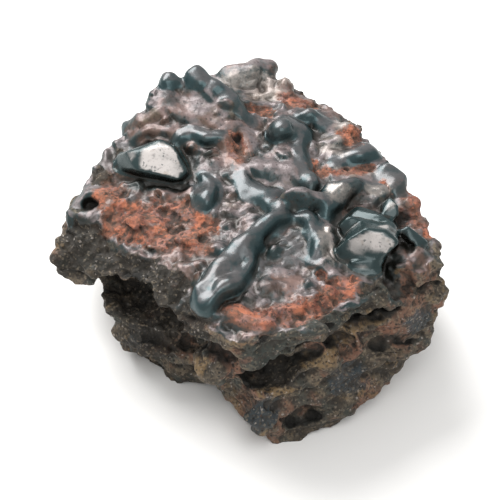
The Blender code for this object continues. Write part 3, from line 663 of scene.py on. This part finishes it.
def rope(name, surface, lift, *points):
    """A rope of crust with round ends, partly sunk where the line of sight meets the stone."""
    places = []
    for across, down, radius in points:
        place, normal = on_surface(surface, across, down)
        places.append(place + normal * radius * lift * MM)
    curve = bpy.data.curves.new(name, "CURVE")
    curve.dimensions = "3D"
    curve.bevel_depth = MM
    curve.bevel_resolution = 4
    curve.resolution_u = 6
    curve.use_fill_caps = True
    spline = curve.splines.new("NURBS")
    spline.points.add(len(points) - 1)
    for point, place, (_, _, radius) in zip(spline.points, places, points):
        point.co = (*place, 1)
        point.radius = radius
    spline.order_u = 3
    spline.use_endpoint_u = True
    tube = bpy.data.objects.new(name, curve)
    bpy.context.collection.objects.link(tube)
    select_only([tube])
    bpy.ops.object.convert(target="MESH")
    solid = bpy.context.object
    ends = []
    for end in (0, -1):
        size = (points[end][2] * MM,) * 3
        ends.append(uneven_ball(name + "_end", places[end], Matrix.Identity(3), size, 0))
    return [solid, *ends]


def lump(name, surface, across, down, wide, high, deep):
    place, _ = on_surface(surface, across, down)
    radii = (wide * MM, deep * MM, high * MM)
    return uneven_ball(name, place, Matrix.Identity(3), radii, LUMP_UNEVENNESS)


def fused(name, things, grain):
    """One body of all these things, on a grid of that grain."""
    select_only(things)
    bpy.ops.object.join()
    whole = bpy.context.object
    whole.name = name
    finish_modifier(whole, "REMESH", mode="VOXEL", voxel_size=grain)
    return whole


def eased(value, low, high):
    """0 below low and 1 above high, with a smooth rise between. Numbers and arrays alike."""
    share = np.clip((value - low) / (high - low), 0, 1)
    return share * share * (3 - 2 * share)


def places_of(mesh):
    """The mesh's points as an array, one row a point."""
    flat = np.empty(len(mesh.vertices) * 3, dtype=np.float32)
    mesh.vertices.foreach_get("co", flat)
    return flat.reshape(-1, 3).astype(np.float64)


def set_places(mesh, places):
    mesh.vertices.foreach_set("co", places.astype(np.float32).ravel())
    mesh.update()


def normals_of(mesh):
    flat = np.empty(len(mesh.vertices) * 3, dtype=np.float32)
    mesh.vertices.foreach_get("normal", flat)
    return flat.reshape(-1, 3).astype(np.float64)


def closeness(surface, places, reach):
    """1 on the surface, 0 at this distance from it and farther."""
    distances = np.full(len(places), reach)
    for index, place in enumerate(places):
        found = surface.find_nearest(place, reach)
        if found[0] is not None:
            distances[index] = found[3]
    return 1 - eased(distances, CORE_SHARE * reach, reach)


def sampled(pattern, places_mm):
    """A pattern's value at each place."""
    return np.array([pattern(Vector(place)) for place in places_mm])


def coarse(place):
    return noise.fractal(place / COARSE_MM, 0.9, 2.1, 3)


def fine(place):
    return noise.fractal(place / FINE_MM, 0.8, 2.0, 2)


def crumbs(place):
    """Loose crumbs about a millimetre across, from -0.5 to 0.5."""
    return noise.voronoi(place / CRUMB_MM)[0][0] - 0.5


def pads(place):
    """Rounded swells and soft valleys, as the skin of a thick melt has. Millimetres in, -0.6 to 0.8 out."""
    drawn = place + noise.noise_vector(place / 6.0) * 3.4
    near, next_near = noise.voronoi(drawn / PAD_MM)[0][:2]
    gap = min(1, (next_near - near) / 0.8)
    return gap * gap * (3 - 2 * gap) - 0.5 + 0.9 * noise.noise(place / 5.0)


def dents(place):
    """Burst bubbles with a raised rim, 1 to 2 mm across. Millimetres in, a height from -1 to 0.4 out."""
    near = noise.voronoi(place / DENT_MM + Vector((3, 8, 1)))[0][0]
    rim = math.exp(-((near - 0.27) / 0.08) ** 2)
    return 0.35 * rim - max(0, 1 - near / 0.22) ** 0.7


def lips(place):
    """Thin raised lips where the melt has wrinkled. Millimetres in, a height from 0 to 1.3 out."""
    drawn = place + noise.noise_vector(place / 4.0) * 2.8
    fold = max(0, 1 - abs(noise.noise(drawn / LIP_MM)) / 0.24)
    wrinkle = max(0, 1 - abs(noise.noise(drawn / WRINKLE_MM)) / 0.24)
    return fold ** 0.7 + 0.35 * wrinkle


def ripples(place):
    """Small uneven swells on the large ones."""
    drawn = place + noise.noise_vector(place / 3.0) * 1.2
    return noise.fractal(drawn / RIPPLE_MM, 0.9, 2.1, 2)


def pits(place):
    """Round bubble holes broken open, large and small. Millimetres in, a depth from 0 to 1 out."""
    large = noise.voronoi(place / PIT_MM)[0][0]
    small = noise.voronoi(place / SMALL_PIT_MM + Vector((7, 3, 5)))[0][0]
    return max(0, 1 - large / 0.24) ** 0.5 + 0.55 * max(0, 1 - small / 0.26) ** 0.5


def ledges(place):
    """Broken steps that run along the walls. Millimetres in, a height from about -1 to 1 out."""
    bent = place + noise.noise_vector(place / 12.0) * 3.0
    heights = []
    for along, up in (LEDGE_MM, SMALL_LEDGE_MM):
        step = noise.noise(Vector((bent.x / along, bent.y / along, bent.z / up)))
        heights.append(math.tanh(step * 4.0))
    return heights[0] + 0.35 * heights[1]


def undulation(place):
    return noise.noise(place / UNDULATION_MM)


def warped(thing, scale, amount):
    """Makes a smooth shape ragged. The scale and the amount are in millimetres."""
    places = places_of(thing.data)
    for index, place in enumerate(places):
        spot = Vector(place) / MM / scale
        push = noise.noise_vector(spot) + noise.noise_vector(spot * 2.1 + Vector((9, 4, 2))) * 0.4
        places[index] += np.array(push) * amount * MM
    set_places(thing.data, places)


def hollow_cutter(surface):
    """One cutter for all the hollows."""
    cutters = []
    for name, (across, down, height, *sizes) in HOLLOWS.items():
        if height is None:
            place, _ = on_surface(surface, across, down)
        else:
            place = at_height(across, down, height)
        cutters.append(hollow(name, place, *sizes))
    for name, (place_mm, *sizes) in BLIND_HOLLOWS.items():
        cutters.append(hollow(name, Vector(place_mm) * MM, *sizes))
    cutter = fused("hollows", cutters, HOLLOW_GRAIN)
    warped(cutter, *HOLLOW_WARP)
    return cutter


def relief_of(name, surface, wanted):
    """The ropes and lumps of these names, as one body."""
    pieces = []
    for part, points in ROPES.items():
        if part in wanted:
            pieces += rope(part, surface, *points)
    for part, measures in GLOSSY_LUMPS.items():
        if part in wanted:
            pieces.append(lump(part, surface, *measures))
    relief = fused(name, pieces, ROPE_GRAIN)
    warped(relief, *ROPE_WARP)
    return relief


def stain(surface, places, ragged, across, down, half_length, half_height, tilt):
    """1 inside one oval patch as seen from the viewpoint, 0 outside it, with a ragged edge between."""
    centre, _ = on_surface(surface, across, down)
    offset = places - np.array(centre)
    right = offset @ np.array(RIGHTWARD)
    up = offset @ np.array(UPWARD)
    away = offset @ np.array(FORWARD)
    turn = math.radians(tilt)
    along = right * math.cos(turn) + up * math.sin(turn)
    over = up * math.cos(turn) - right * math.sin(turn)
    long, high = half_length * PIXEL, half_height * PIXEL
    deep = max(long, high) + STAIN_DEPTH
    reach = np.sqrt((along / long) ** 2 + (over / high) ** 2 + (away / deep) ** 2)
    return 1 - eased(reach + ragged, *STAIN_EDGE)


def stains(kind, surface, places, ragged):
    whole = np.zeros(len(places))
    for spot in STAINS[kind]:
        whole = np.maximum(whole, stain(surface, places, ragged, *spot))
    return whole


def openness(surface, places, normals):
    """The share of its sky that each point sees: 1 on an open face, near 0 in a crevice."""
    turns = np.arange(SKY_RAYS)
    heights = 1 - 2 * (turns + 0.5) / SKY_RAYS
    angles = turns * math.pi * (3 - math.sqrt(5))
    flat = np.sqrt(1 - heights ** 2)
    rays = np.column_stack((flat * np.cos(angles), flat * np.sin(angles), heights))
    weights = normals @ rays.T
    directions = [Vector(ray) for ray in rays]
    starts = places + normals * SKY_START_MM * MM
    seen = np.zeros(len(places))
    for index, start in enumerate(starts):
        origin = Vector(start)
        for turn in np.flatnonzero(weights[index] > GRAZING):
            if surface.ray_cast(origin, directions[turn], SKY_REACH)[0] is None:
                seen[index] += weights[index, turn]
    return seen / np.where(weights > GRAZING, weights, 0).sum(axis=1)


def facet_highlights(chips, places, normals):
    """1 where the chips' facets carry a painted highlight, up to their sharp edges."""
    whole = np.zeros(len(places))
    for across, down, radius, whiteness in FACET_HIGHLIGHTS:
        centre, facing = on_surface(chips, across, down)
        away = np.linalg.norm(places - np.array(centre), axis=1)
        near = 1 - eased(away, FACET_CORE * radius * MM, radius * MM)
        whole = np.maximum(whole, whiteness * near * eased(normals @ np.array(facing), *FACET_TURN))
    return whole


def smoothed(mesh, places, rounds, share):
    """Places drawn towards the mean of those around them, by this share each round. Each point may have its
    own share.
    """
    ends = np.empty(len(mesh.edges) * 2, dtype=np.int64)
    mesh.edges.foreach_get("vertices", ends)
    one, other = ends.reshape(-1, 2).T
    count = np.bincount(one, minlength=len(places)) + np.bincount(other, minlength=len(places))
    soft = places.copy()
    for _ in range(rounds):
        mean = np.empty_like(soft)
        for axis in range(soft.shape[1]):
            column = soft[:, axis]
            mean[:, axis] = np.bincount(one, column[other], len(places))
            mean[:, axis] += np.bincount(other, column[one], len(places))
        soft += share * (mean / count[:, None] - soft)
    return soft


def bulge(mesh, places, normals, rounds):
    """How far each point stands out from the mean of those around it, in millimetres."""
    offset = places - smoothed(mesh, places, rounds, 0.5)
    return np.einsum("ij,ij->i", offset, normals) / MM


def keep_mask(mesh, name, values):
    """Stores a value at each point, from 0 to 1, for the material to read."""
    layer = mesh.attributes.new(name, "FLOAT", "POINT")
    layer.data.foreach_set("value", np.clip(values, 0, 1).astype(np.float32))


def summed(shares, patterns):
    """The sum of these patterns, each times its share."""
    return sum(share * pattern for share, pattern in zip(shares, patterns))


def roughened(stone, sizes, surface, near):
    """Blends the ropes in, and breaks up the flat faces: swells and dents in the crust, ledges, pits and
    crumbs in the rock. Keeps the masks for the material.
    """
    mesh = stone.data
    places = places_of(mesh)
    in_mm = places / MM
    normals = normals_of(mesh)
    on_glaze = closeness(near["glazed"], places, ROPE_SKIN)
    on_rope = np.maximum(on_glaze, closeness(near["bloomed"], places, ROPE_SKIN))
    by_glazed = closeness(near["glazed"], places, GLAZED_SKIRT)
    by_rope = np.maximum(by_glazed, closeness(near["bloomed"], places, BLOOMED_SKIRT))
    on_chip = closeness(near["chips"], places, CHIP_SKIN)
    by_chip = closeness(near["chips"], places, CHIP_MOAT)
    inside = closeness(near["hollows"], places, HOLLOW_SKIN)
    quick = sampled(fine, in_mm)
    crumb = sampled(crumbs, in_mm)
    ragged = summed(RAGGEDNESS, (quick, crumb))
    masks = {kind: stains(kind, surface, places, ragged) for kind in STAINS}
    bare = masks.pop("bare")
    level = np.maximum(eased(normals[:, 2], *CRUST_TILT), on_rope) * eased(places[:, 2], *CRUST_HEIGHT)
    top = level * (1 - bare * (1 - on_rope)) * (1 - on_chip)
    rust = masks["rust"] * (1 - GLAZE_SHEDS_RUST * on_glaze) * (1 - on_chip)

    melt = np.clip(by_rope * MELT_GAIN, 0, 1) * (1 - on_chip) * eased(places[:, 2], *MELT_HEIGHT)
    places = smoothed(mesh, places, sizes.blend_rounds, BLEND_SHARE * melt[:, None])
    set_places(mesh, places)
    normals = normals_of(mesh)

    slow = sampled(coarse, in_mm)
    rock = summed(ROCK_RELIEF, (slow, quick, crumb)) - sizes.pit_depth / MM * sampled(pits, in_mm)
    rock += (sizes.ledge_height / MM * sampled(ledges, in_mm) - LEDGE_SETBACK) * (1 - inside)
    crust = CRUST_COARSENESS * slow
    crust_heights = (sizes.swell_height, sizes.ripple_height, sizes.dent_depth, sizes.lip_height)
    for height, pattern in zip(crust_heights, (pads, ripples, dents, lips)):
        crust += height / MM * sampled(pattern, in_mm)
    crumbly = summed(RUST_RELIEF, (slow, quick, crumb, sampled(ripples, in_mm))) - sizes.crumble_depth / MM
    glazed = summed(GLAZE_RELIEF, (slow, sampled(undulation, in_mm), quick))
    rough = rock * (1 - top) + crust * top
    rough = rough * (1 - rust) + crumbly * rust
    rough = rough * (1 - on_rope) + glazed * on_rope
    rough = (rough + SKIRT_RISE * by_rope) * (1 - on_chip) - MOAT_DEPTH * by_chip * (1 - on_chip)
    rough += CHIP_ROUGHNESS * crumb * on_chip
    places = places + normals * (rough * MM)[:, None]
    places = smoothed(mesh, places, 2, (CRUST_SMOOTHING * top * (1 - rust))[:, None])
    set_places(mesh, places)

    turned = normals_of(mesh)
    masks["rust"] = rust
    masks["crust"] = top
    masks["glaze"] = on_glaze
    masks["chip"] = on_chip
    # Painted highlight on the facets of the chips
    masks["white"] = on_chip * facet_highlights(near["chips"], places, turned) * (1 + FACET_MOTTLE * quick)
    # For the painted shade in the folds: how far each point stands out from those round it
    masks["crease_shade"] = np.full(len(places), 0.5)
    for rounds, share in CROWNS:
        masks["crease_shade"] += share * bulge(mesh, places, turned, rounds)
    # For the painted sheen on the tops of the crust
    masks["tops"] = eased(turned[:, 2], *TOPS_TILT)
    for name, values in masks.items():
        keep_mask(mesh, name, values)


def shaded(stone):
    """Keeps, for the material's painted shade in recesses, how open each point of the finished shape lies."""
    mesh = stone.data
    places = places_of(mesh)
    seen = openness(surface_of(stone), places, normals_of(mesh))
    keep_mask(mesh, "open", smoothed(mesh, seen[:, None], 2, 0.5)[:, 0])


def cut_flat(thing):
    """The flat broken face that the stone rests on."""
    select_only([thing])
    bpy.ops.object.mode_set(mode="EDIT")
    bpy.ops.mesh.select_all(action="SELECT")
    bpy.ops.mesh.bisect(
        plane_co=(0, 0, 0), plane_no=(0, 0, 1), use_fill=True, clear_inner=True, threshold=CUT_EXACTNESS)
    bpy.ops.mesh.select_all(action="SELECT")
    bpy.ops.mesh.quads_convert_to_tris()
    bpy.ops.mesh.normals_make_consistent(inside=False)
    bpy.ops.object.mode_set(mode="OBJECT")


def without_crumbs(thing):
    """Keeps the stone itself: loose crumbs and sealed bubbles go."""
    select_only([thing])
    bpy.ops.mesh.separate(type="LOOSE")
    bodies = sorted(bpy.context.selected_objects, key=lambda body: len(body.data.vertices))
    discard(bodies[:-1])
    return bodies[-1]


def add(tree, kind, settings, inputs):
    """Adds a node with its settings, and fills or links its inputs."""
    made = tree.nodes.new(kind)
    for name, value in settings.items():
        setattr(made, name, value)
    for name, value in inputs.items():
        if isinstance(value, bpy.types.NodeSocket):
            tree.links.new(value, made.inputs[name])
        else:
            made.inputs[name].default_value = value
    return made


def painted(tree, ground, layers):
    """Lays colours over a ground. Each layer is its colour, the mask, the mask's values where the colour
    starts and where it is strongest, and its strength there.
    """
    for colour, mask, start, full, strength in layers:
        share = add(tree, "ShaderNodeMapRange", {"interpolation_type": "SMOOTHSTEP"},
                    {"Value": mask, "From Min": start, "From Max": full, "To Max": strength}).outputs[0]
        mixed = add(tree, "ShaderNodeMix", {"data_type": "RGBA"}, {0: share, 6: ground, 7: colour})
        ground = mixed.outputs[2]
    return ground


def crusted_ore(colours):
    """Ore under a fused crust. The rock is matt and gritty, with grains of quartz, iron ore and cassiterite.
    The crust has the shine of a dark slag: teal-black and half metallic on the sides of its folds, with
    mauve-grey tops painted lighter as painted sheen. Its folds and recesses are painted darker as painted
    shade.
    """
    material = bpy.data.materials.new("ore_under_fused_crust")
    material.use_nodes = True
    tree = material.node_tree
    tree.nodes.clear()
    coordinates = add(tree, "ShaderNodeTexCoord", {}, {}).outputs["Object"]
    in_mm = add(tree, "ShaderNodeMapping", {"vector_type": "POINT"},
                {"Vector": coordinates, "Scale": (1 / MM,) * 3}).outputs["Vector"]
    elsewhere = add(tree, "ShaderNodeMapping", {"vector_type": "POINT"},
                    {"Vector": in_mm, "Location": ELSEWHERE_MM}).outputs["Vector"]
    stain_kinds = [kind for kind in STAINS if kind != "bare"]
    masks = {}
    for name in (*stain_kinds, "white", "crust", "glaze", "chip", "crease_shade", "tops", "open"):
        masks[name] = add(tree, "ShaderNodeAttribute", {"attribute_name": name}, {}).outputs["Fac"]

    # Noise over some millimetres: dust specks, mottling, patches and broad changes of tone
    noises = {}
    for name, vector, size, detail in (("specks", in_mm, 0.5, 3.0), ("mottle", in_mm, 2.4, 4.0),
                                       ("patches", elsewhere, 4.5, 3.0), ("broad", in_mm, 9.0, 3.0)):
        made = add(tree, "ShaderNodeTexNoise", {},
                   {"Vector": vector, "Scale": 1 / size, "Detail": detail, "Roughness": 0.62})
        noises[name] = made.outputs["Fac"]
    # Grains 0.4 mm across
    grains = add(tree, "ShaderNodeTexVoronoi", {"feature": "F1"}, {"Vector": in_mm, "Scale": 1 / 0.4})
    grain = add(tree, "ShaderNodeSeparateColor", {}, {"Color": grains.outputs["Color"]})

    # Burst bubbles 0.3 mm across in the crust; in them rock and crust are painted dark, as painted shade
    bubbles = add(tree, "ShaderNodeTexVoronoi", {"feature": "F1"}, {"Vector": elsewhere, "Scale": 1 / 1.4})

    # Stains and the rust end grain by grain; the painted sheen on the tops is mottled and dimmed in closed
    # folds
    breakup = add(tree, "ShaderNodeMath", {"operation": "MULTIPLY_ADD"},
                  {0: grain.outputs["Green"], 1: 0.4, 2: noises["mottle"]}).outputs[0]
    ragged = {}
    for name in stain_kinds:
        made = add(tree, "ShaderNodeMath", {"operation": "ADD"}, {0: masks[name], 1: breakup})
        ragged[name] = made.outputs[0]
    sheen = masks["tops"]
    for thinned_by in (masks["open"], noises["mottle"]):
        sheen = add(tree, "ShaderNodeMath", {"operation": "MULTIPLY"}, {0: sheen, 1: thinned_by}).outputs[0]

    rock = painted(tree, colours.matrix, (
        (colours.dark_grains_and_crease_shade, noises["mottle"], 0.58, 0.4, 0.8),
        (colours.warm, noises["broad"], 0.5, 0.6, 0.6),
        (colours.umber, noises["broad"], 0.48, 0.38, 0.6),
        (colours.slate, noises["patches"], 0.5, 0.62, 0.7),
        (colours.tan, noises["patches"], 0.44, 0.34, 0.45),
        (colours.slate, ragged["slate"], 0.95, 1.5, 0.85),
        (colours.tan, ragged["tan"], 0.95, 1.6, 0.7),
        (colours.warm, ragged["warm"], 0.95, 1.6, 0.8),
        (colours.grit, ragged["grit"], 1.0, 1.6, 0.8),
        # Umber: dark brown, partly painted shade under the lip and the left chip
        (colours.umber, ragged["umber"], 0.9, 1.4, 0.88),
        (colours.matrix_light, grain.outputs["Red"], 0.75, 1.0, 0.38),
        (colours.dark_grains_and_crease_shade, grain.outputs["Green"], 0.6, 0.95, 0.75),
        # Painted shade: dark in the bubbles
        (colours.shadow, bubbles.outputs["Distance"], 0.24, 0.12, 0.85),
        (colours.pale, grain.outputs["Blue"], 0.97, 1.0, 0.5),
    ))
    crust = painted(tree, colours.skin_dark, (
        # Painted sheen on the tops, over the teal sides
        (colours.skin, sheen, 0.15, 0.5, 0.88),
        (colours.warm, noises["broad"], 0.48, 0.62, 0.5),
        (colours.matrix, noises["patches"], 0.44, 0.3, 0.6),
        (colours.skin_dark, noises["patches"], 0.5, 0.62, 0.75),
        (colours.dark_grains_and_crease_shade, grain.outputs["Green"], 0.75, 0.95, 0.45),
        (colours.warm, ragged["warm"], 1.0, 1.6, 0.65),
        # Umber: dark brown, partly painted shade under the lip and the left chip
        (colours.umber, ragged["umber"], 1.0, 1.6, 0.7),
        # Dark glaze, and painted shade on shaded sides and under the chips
        (colours.skin_dark, ragged["dark_glaze_and_shade"], 1.0, 1.6, 0.8),
        # Painted shade: dark in the burst bubbles
        (colours.shadow, bubbles.outputs["Distance"], 0.2, 0.1, 0.8),
        (colours.glaze, masks["glaze"], 0.3, 1.0, 0.8),
        # Painted sheen on the tops of the glaze too
        (colours.skin, sheen, 0.25, 0.5, 0.3),
        # Beige: pale tone at the rear, partly painted light, and painted highlight on the tongue and its tail
        (colours.pale, ragged["pale"], 0.95, 1.9, 0.55),
    ))
    powder = painted(tree, colours.rust, (
        (colours.rust_bright, noises["patches"], 0.42, 0.6, 0.95),
        (colours.skin, noises["broad"], 0.5, 0.62, 0.5),
        (colours.umber, noises["broad"], 0.46, 0.36, 0.6),
        (colours.warm, noises["mottle"], 0.56, 0.42, 0.85),
        (colours.dark_grains_and_crease_shade, noises["mottle"], 0.44, 0.3, 0.8),
        (colours.rust_bright, grain.outputs["Red"], 0.7, 0.95, 0.45),
        (colours.dark_grains_and_crease_shade, grain.outputs["Blue"], 0.75, 0.95, 0.6),
        # Umber: dark brown, partly painted shade under the lip and the left chip
        (colours.umber, ragged["umber"], 1.0, 1.6, 0.7),
    ))
    # The chips' facets: a painted highlight, white with specks and mottle
    face = painted(tree, colours.white, (
        (colours.skin, noises["specks"], 0.52, 0.7, 0.5),
        (colours.tan, noises["mottle"], 0.55, 0.7, 0.35),
        (colours.skin_dark, grain.outputs["Blue"], 0.9, 0.98, 0.6),
    ))
    is_crust = add(tree, "ShaderNodeMath", {"operation": "MAXIMUM"},
                   {0: masks["crust"], 1: masks["glaze"]}).outputs[0]
    colour = painted(tree, rock, (
        (crust, is_crust, 0.25, 0.7, 1.0),
        (colours.warm, masks["rust"], 0.05, 0.4, 0.5),
        (powder, ragged["rust"], 0.95, 1.45, 0.95),
        (colours.skin_dark, masks["chip"], 0.4, 0.9, 1.0),
        # Painted highlight on the chips' facets
        (face, masks["white"], 0.0, 1.0, 1.0),
        # Painted shade in the folds and creases, where a point lies below those round it
        (colours.dark_grains_and_crease_shade, masks["crease_shade"], 0.42, 0.15, 0.7),
        # Painted shade in the recesses: darkest where a point sees little of its sky
        (colours.shadow, masks["open"], 0.88, 0.42, 0.94),
    ))

    # Shine: matt rock and rust, a satin crust, and glaze where it is thickest
    shine = painted(tree, (0.84, 0.0, 0.0, 1), (
        ((0.38, 0.25, 0.0, 1), is_crust, 0.25, 0.7, 1.0),
        ((0.3, 0.55, 0.0, 1), masks["glaze"], 0.2, 0.8, 1.0),
        ((0.86, 0.0, 0.0, 1), ragged["rust"], 0.95, 1.45, 1.0),
        ((0.24, 0.3, 0.0, 1), masks["chip"], 0.4, 0.9, 1.0),
        ((0.3, 0.2, 0.0, 1), masks["white"], 0.35, 0.6, 1.0),
        ((0.3, 0.3, 0.0, 1), grain.outputs["Blue"], 0.94, 0.98, 0.6),
    ))
    shine = add(tree, "ShaderNodeSeparateColor", {}, {"Color": shine})

    # Grain that stands out 0.1 to 0.2 mm, worn off under the glaze
    height = add(tree, "ShaderNodeMath", {"operation": "ADD"},
                 {0: noises["specks"], 1: grains.outputs["Distance"]}).outputs[0]
    height = add(tree, "ShaderNodeMath", {"operation": "SMOOTH_MIN"},
                 {0: height, 1: bubbles.outputs["Distance"], 2: 0.3}).outputs[0]
    strength = add(tree, "ShaderNodeMapRange", {},
                   {"Value": shine.outputs["Red"], "From Min": 0.3, "From Max": 0.85, "To Min": 0.06,
                    "To Max": 1.0})
    bump = add(tree, "ShaderNodeBump", {},
               {"Height": height, "Strength": strength.outputs[0], "Distance": 0.6 * MM}).outputs["Normal"]
    shader = add(tree, "ShaderNodeBsdfPrincipled", {},
                 {"Base Color": colour, "Roughness": shine.outputs["Red"], "Metallic": shine.outputs["Green"],
                  "Normal": bump, "IOR": 1.5})
    add(tree, "ShaderNodeOutputMaterial", {}, {"Surface": shader.outputs["BSDF"]})
    return material


def matt_card(colour):
    """Matt white card, as a photographer's sweep is: no shine, no pattern."""
    material = bpy.data.materials.new("matt_card")
    material.use_nodes = True
    shader = material.node_tree.nodes["Principled BSDF"]
    shader.inputs["Base Color"].default_value = colour
    shader.inputs["Roughness"].default_value = 0.9
    return material


class ORE_OT_stone(bpy.types.Operator):
    """Builds the stone with its crust, ropes, hollows and stains"""

    bl_idname = "ore.stone"
    bl_label = "Stone"

    def execute(self, context):
        sizes = context.scene.ore_stone
        noise.seed_set(NOISE_SEED)
        bpy.ops.object.select_all(action="DESELECT")
        rock = fused("rock", [chunk(name, corners) for name, corners in ROCK.items()], ROCK_GRAIN)
        cutter = hollow_cutter(surface_of(rock))
        near_hollows = surface_of(cutter)
        finish_modifier(rock, "BOOLEAN", operation="DIFFERENCE", object=cutter)
        discard([cutter])
        swells = []
        below = surface_of(rock)
        for name, points in SWELLS.items():
            swells += rope(name, below, *points)
        rock = fused("rock", [rock, *swells], SWELL_GRAIN)
        surface = surface_of(rock)
        chips = fused("chips", [chunk(name, corners) for name, corners in CHIPS.items()], CHIP_GRAIN)
        glazed = relief_of("glazed", surface, GLAZED)
        bloomed = relief_of("bloomed", surface, (ROPES.keys() | GLOSSY_LUMPS.keys()) - set(GLAZED))
        rough_lumps = [lump(name, surface, *measures) for name, measures in ROUGH_LUMPS.items()]
        near = {"glazed": surface_of(glazed), "bloomed": surface_of(bloomed), "chips": surface_of(chips),
                "hollows": near_hollows}
        stone = fused("ore_stone", [rock, chips, glazed, bloomed, *rough_lumps], sizes.grain)
        roughened(stone, sizes, surface_of(stone), near)
        triangles = sum(len(face.vertices) - 2 for face in stone.data.polygons)
        if triangles > sizes.most_triangles:
            share = sizes.most_triangles / triangles
            finish_modifier(stone, "DECIMATE", ratio=share, use_collapse_triangulate=True)
        cut_flat(stone)
        stone = without_crumbs(stone)
        shaded(stone)
        stone.name = "ore_stone"
        bpy.ops.object.select_all(action="DESELECT")
        stone.select_set(True)
        context.view_layer.objects.active = stone
        bpy.ops.object.shade_smooth()
        stone.data.materials.clear()
        stone.data.materials.append(crusted_ore(context.scene.ore_colours))
        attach(stone, "root")
        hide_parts("ore_lump")
        return {"FINISHED"}


class ORE_OT_studio(bpy.types.Operator):
    """Sets the floor, the soft light, the surroundings and the camera"""

    bl_idname = "ore.studio"
    bl_label = "Studio"

    def execute(self, context):
        scene = context.scene
        studio = scene.ore_studio
        bpy.ops.object.select_all(action="DESELECT")
        bpy.ops.mesh.primitive_plane_add(size=4, location=(0, 0, 0))
        floor = context.object
        floor.name = "floor"
        floor.data.materials.append(matt_card(studio.floor_colour))

        for name, place, share in LIGHTS:
            bpy.ops.object.light_add(type="AREA", location=place)
            light = context.object
            light.name = name
            light.rotation_euler = (AIM - light.location).to_track_quat("-Z", "Y").to_euler()
            light.data.shape = "SQUARE"
            light.data.size = studio.light_width
            light.data.energy = studio.light_power * share

        world = bpy.data.worlds.new("even_light")
        world.use_nodes = True
        background = world.node_tree.nodes["Background"]
        background.inputs["Color"].default_value = (1, 1, 1, 1)
        background.inputs["Strength"].default_value = studio.surroundings
        scene.world = world

        bpy.ops.object.camera_add(location=VIEWPOINT, rotation=(math.pi / 2 - LOOKING_DOWN, 0, 0))
        camera = context.object
        camera.name = "camera"
        camera.data.sensor_width = SENSOR_WIDTH_MM
        camera.data.lens = SENSOR_WIDTH_MM * VIEW_DISTANCE / (PICTURE_WIDTH * PIXEL)
        camera.data.clip_start = 0.01
        camera.data.clip_end = 20
        scene.camera = camera
        scene.view_settings.view_transform = "Standard"
        return {"FINISHED"}


class ORE_PT_panel(bpy.types.Panel):
    """Lists the steps and their settings"""

    bl_idname = "ORE_PT_panel"
    bl_label = "Tin ore"
    bl_space_type = "VIEW_3D"
    bl_region_type = "UI"
    bl_category = "Tin ore"

    def draw(self, context):
        steps = (("ore.stone", "ore_stone", "ore_colours"), ("ore.studio", "ore_studio"))
        for step, *groups in steps:
            box = self.layout.box()
            box.operator(step)
            for group in groups:
                settings = getattr(context.scene, group)
                for name in settings.__annotations__:
                    box.prop(settings, name)


CLASSES = (StoneSettings, ColourSettings, StudioSettings, ORE_OT_stone, ORE_OT_studio, ORE_PT_panel)


def register():
    for kind in CLASSES:
        bpy.utils.register_class(kind)
    bpy.types.Scene.ore_stone = PointerProperty(type=StoneSettings)
    bpy.types.Scene.ore_colours = PointerProperty(type=ColourSettings)
    bpy.types.Scene.ore_studio = PointerProperty(type=StudioSettings)


def unregister():
    del bpy.types.Scene.ore_studio
    del bpy.types.Scene.ore_colours
    del bpy.types.Scene.ore_stone
    for kind in reversed(CLASSES):
        bpy.utils.unregister_class(kind)


def main():
    register()
    bpy.ops.ore.stone()
    bpy.ops.ore.studio()


if __name__ == "__main__":
    main()
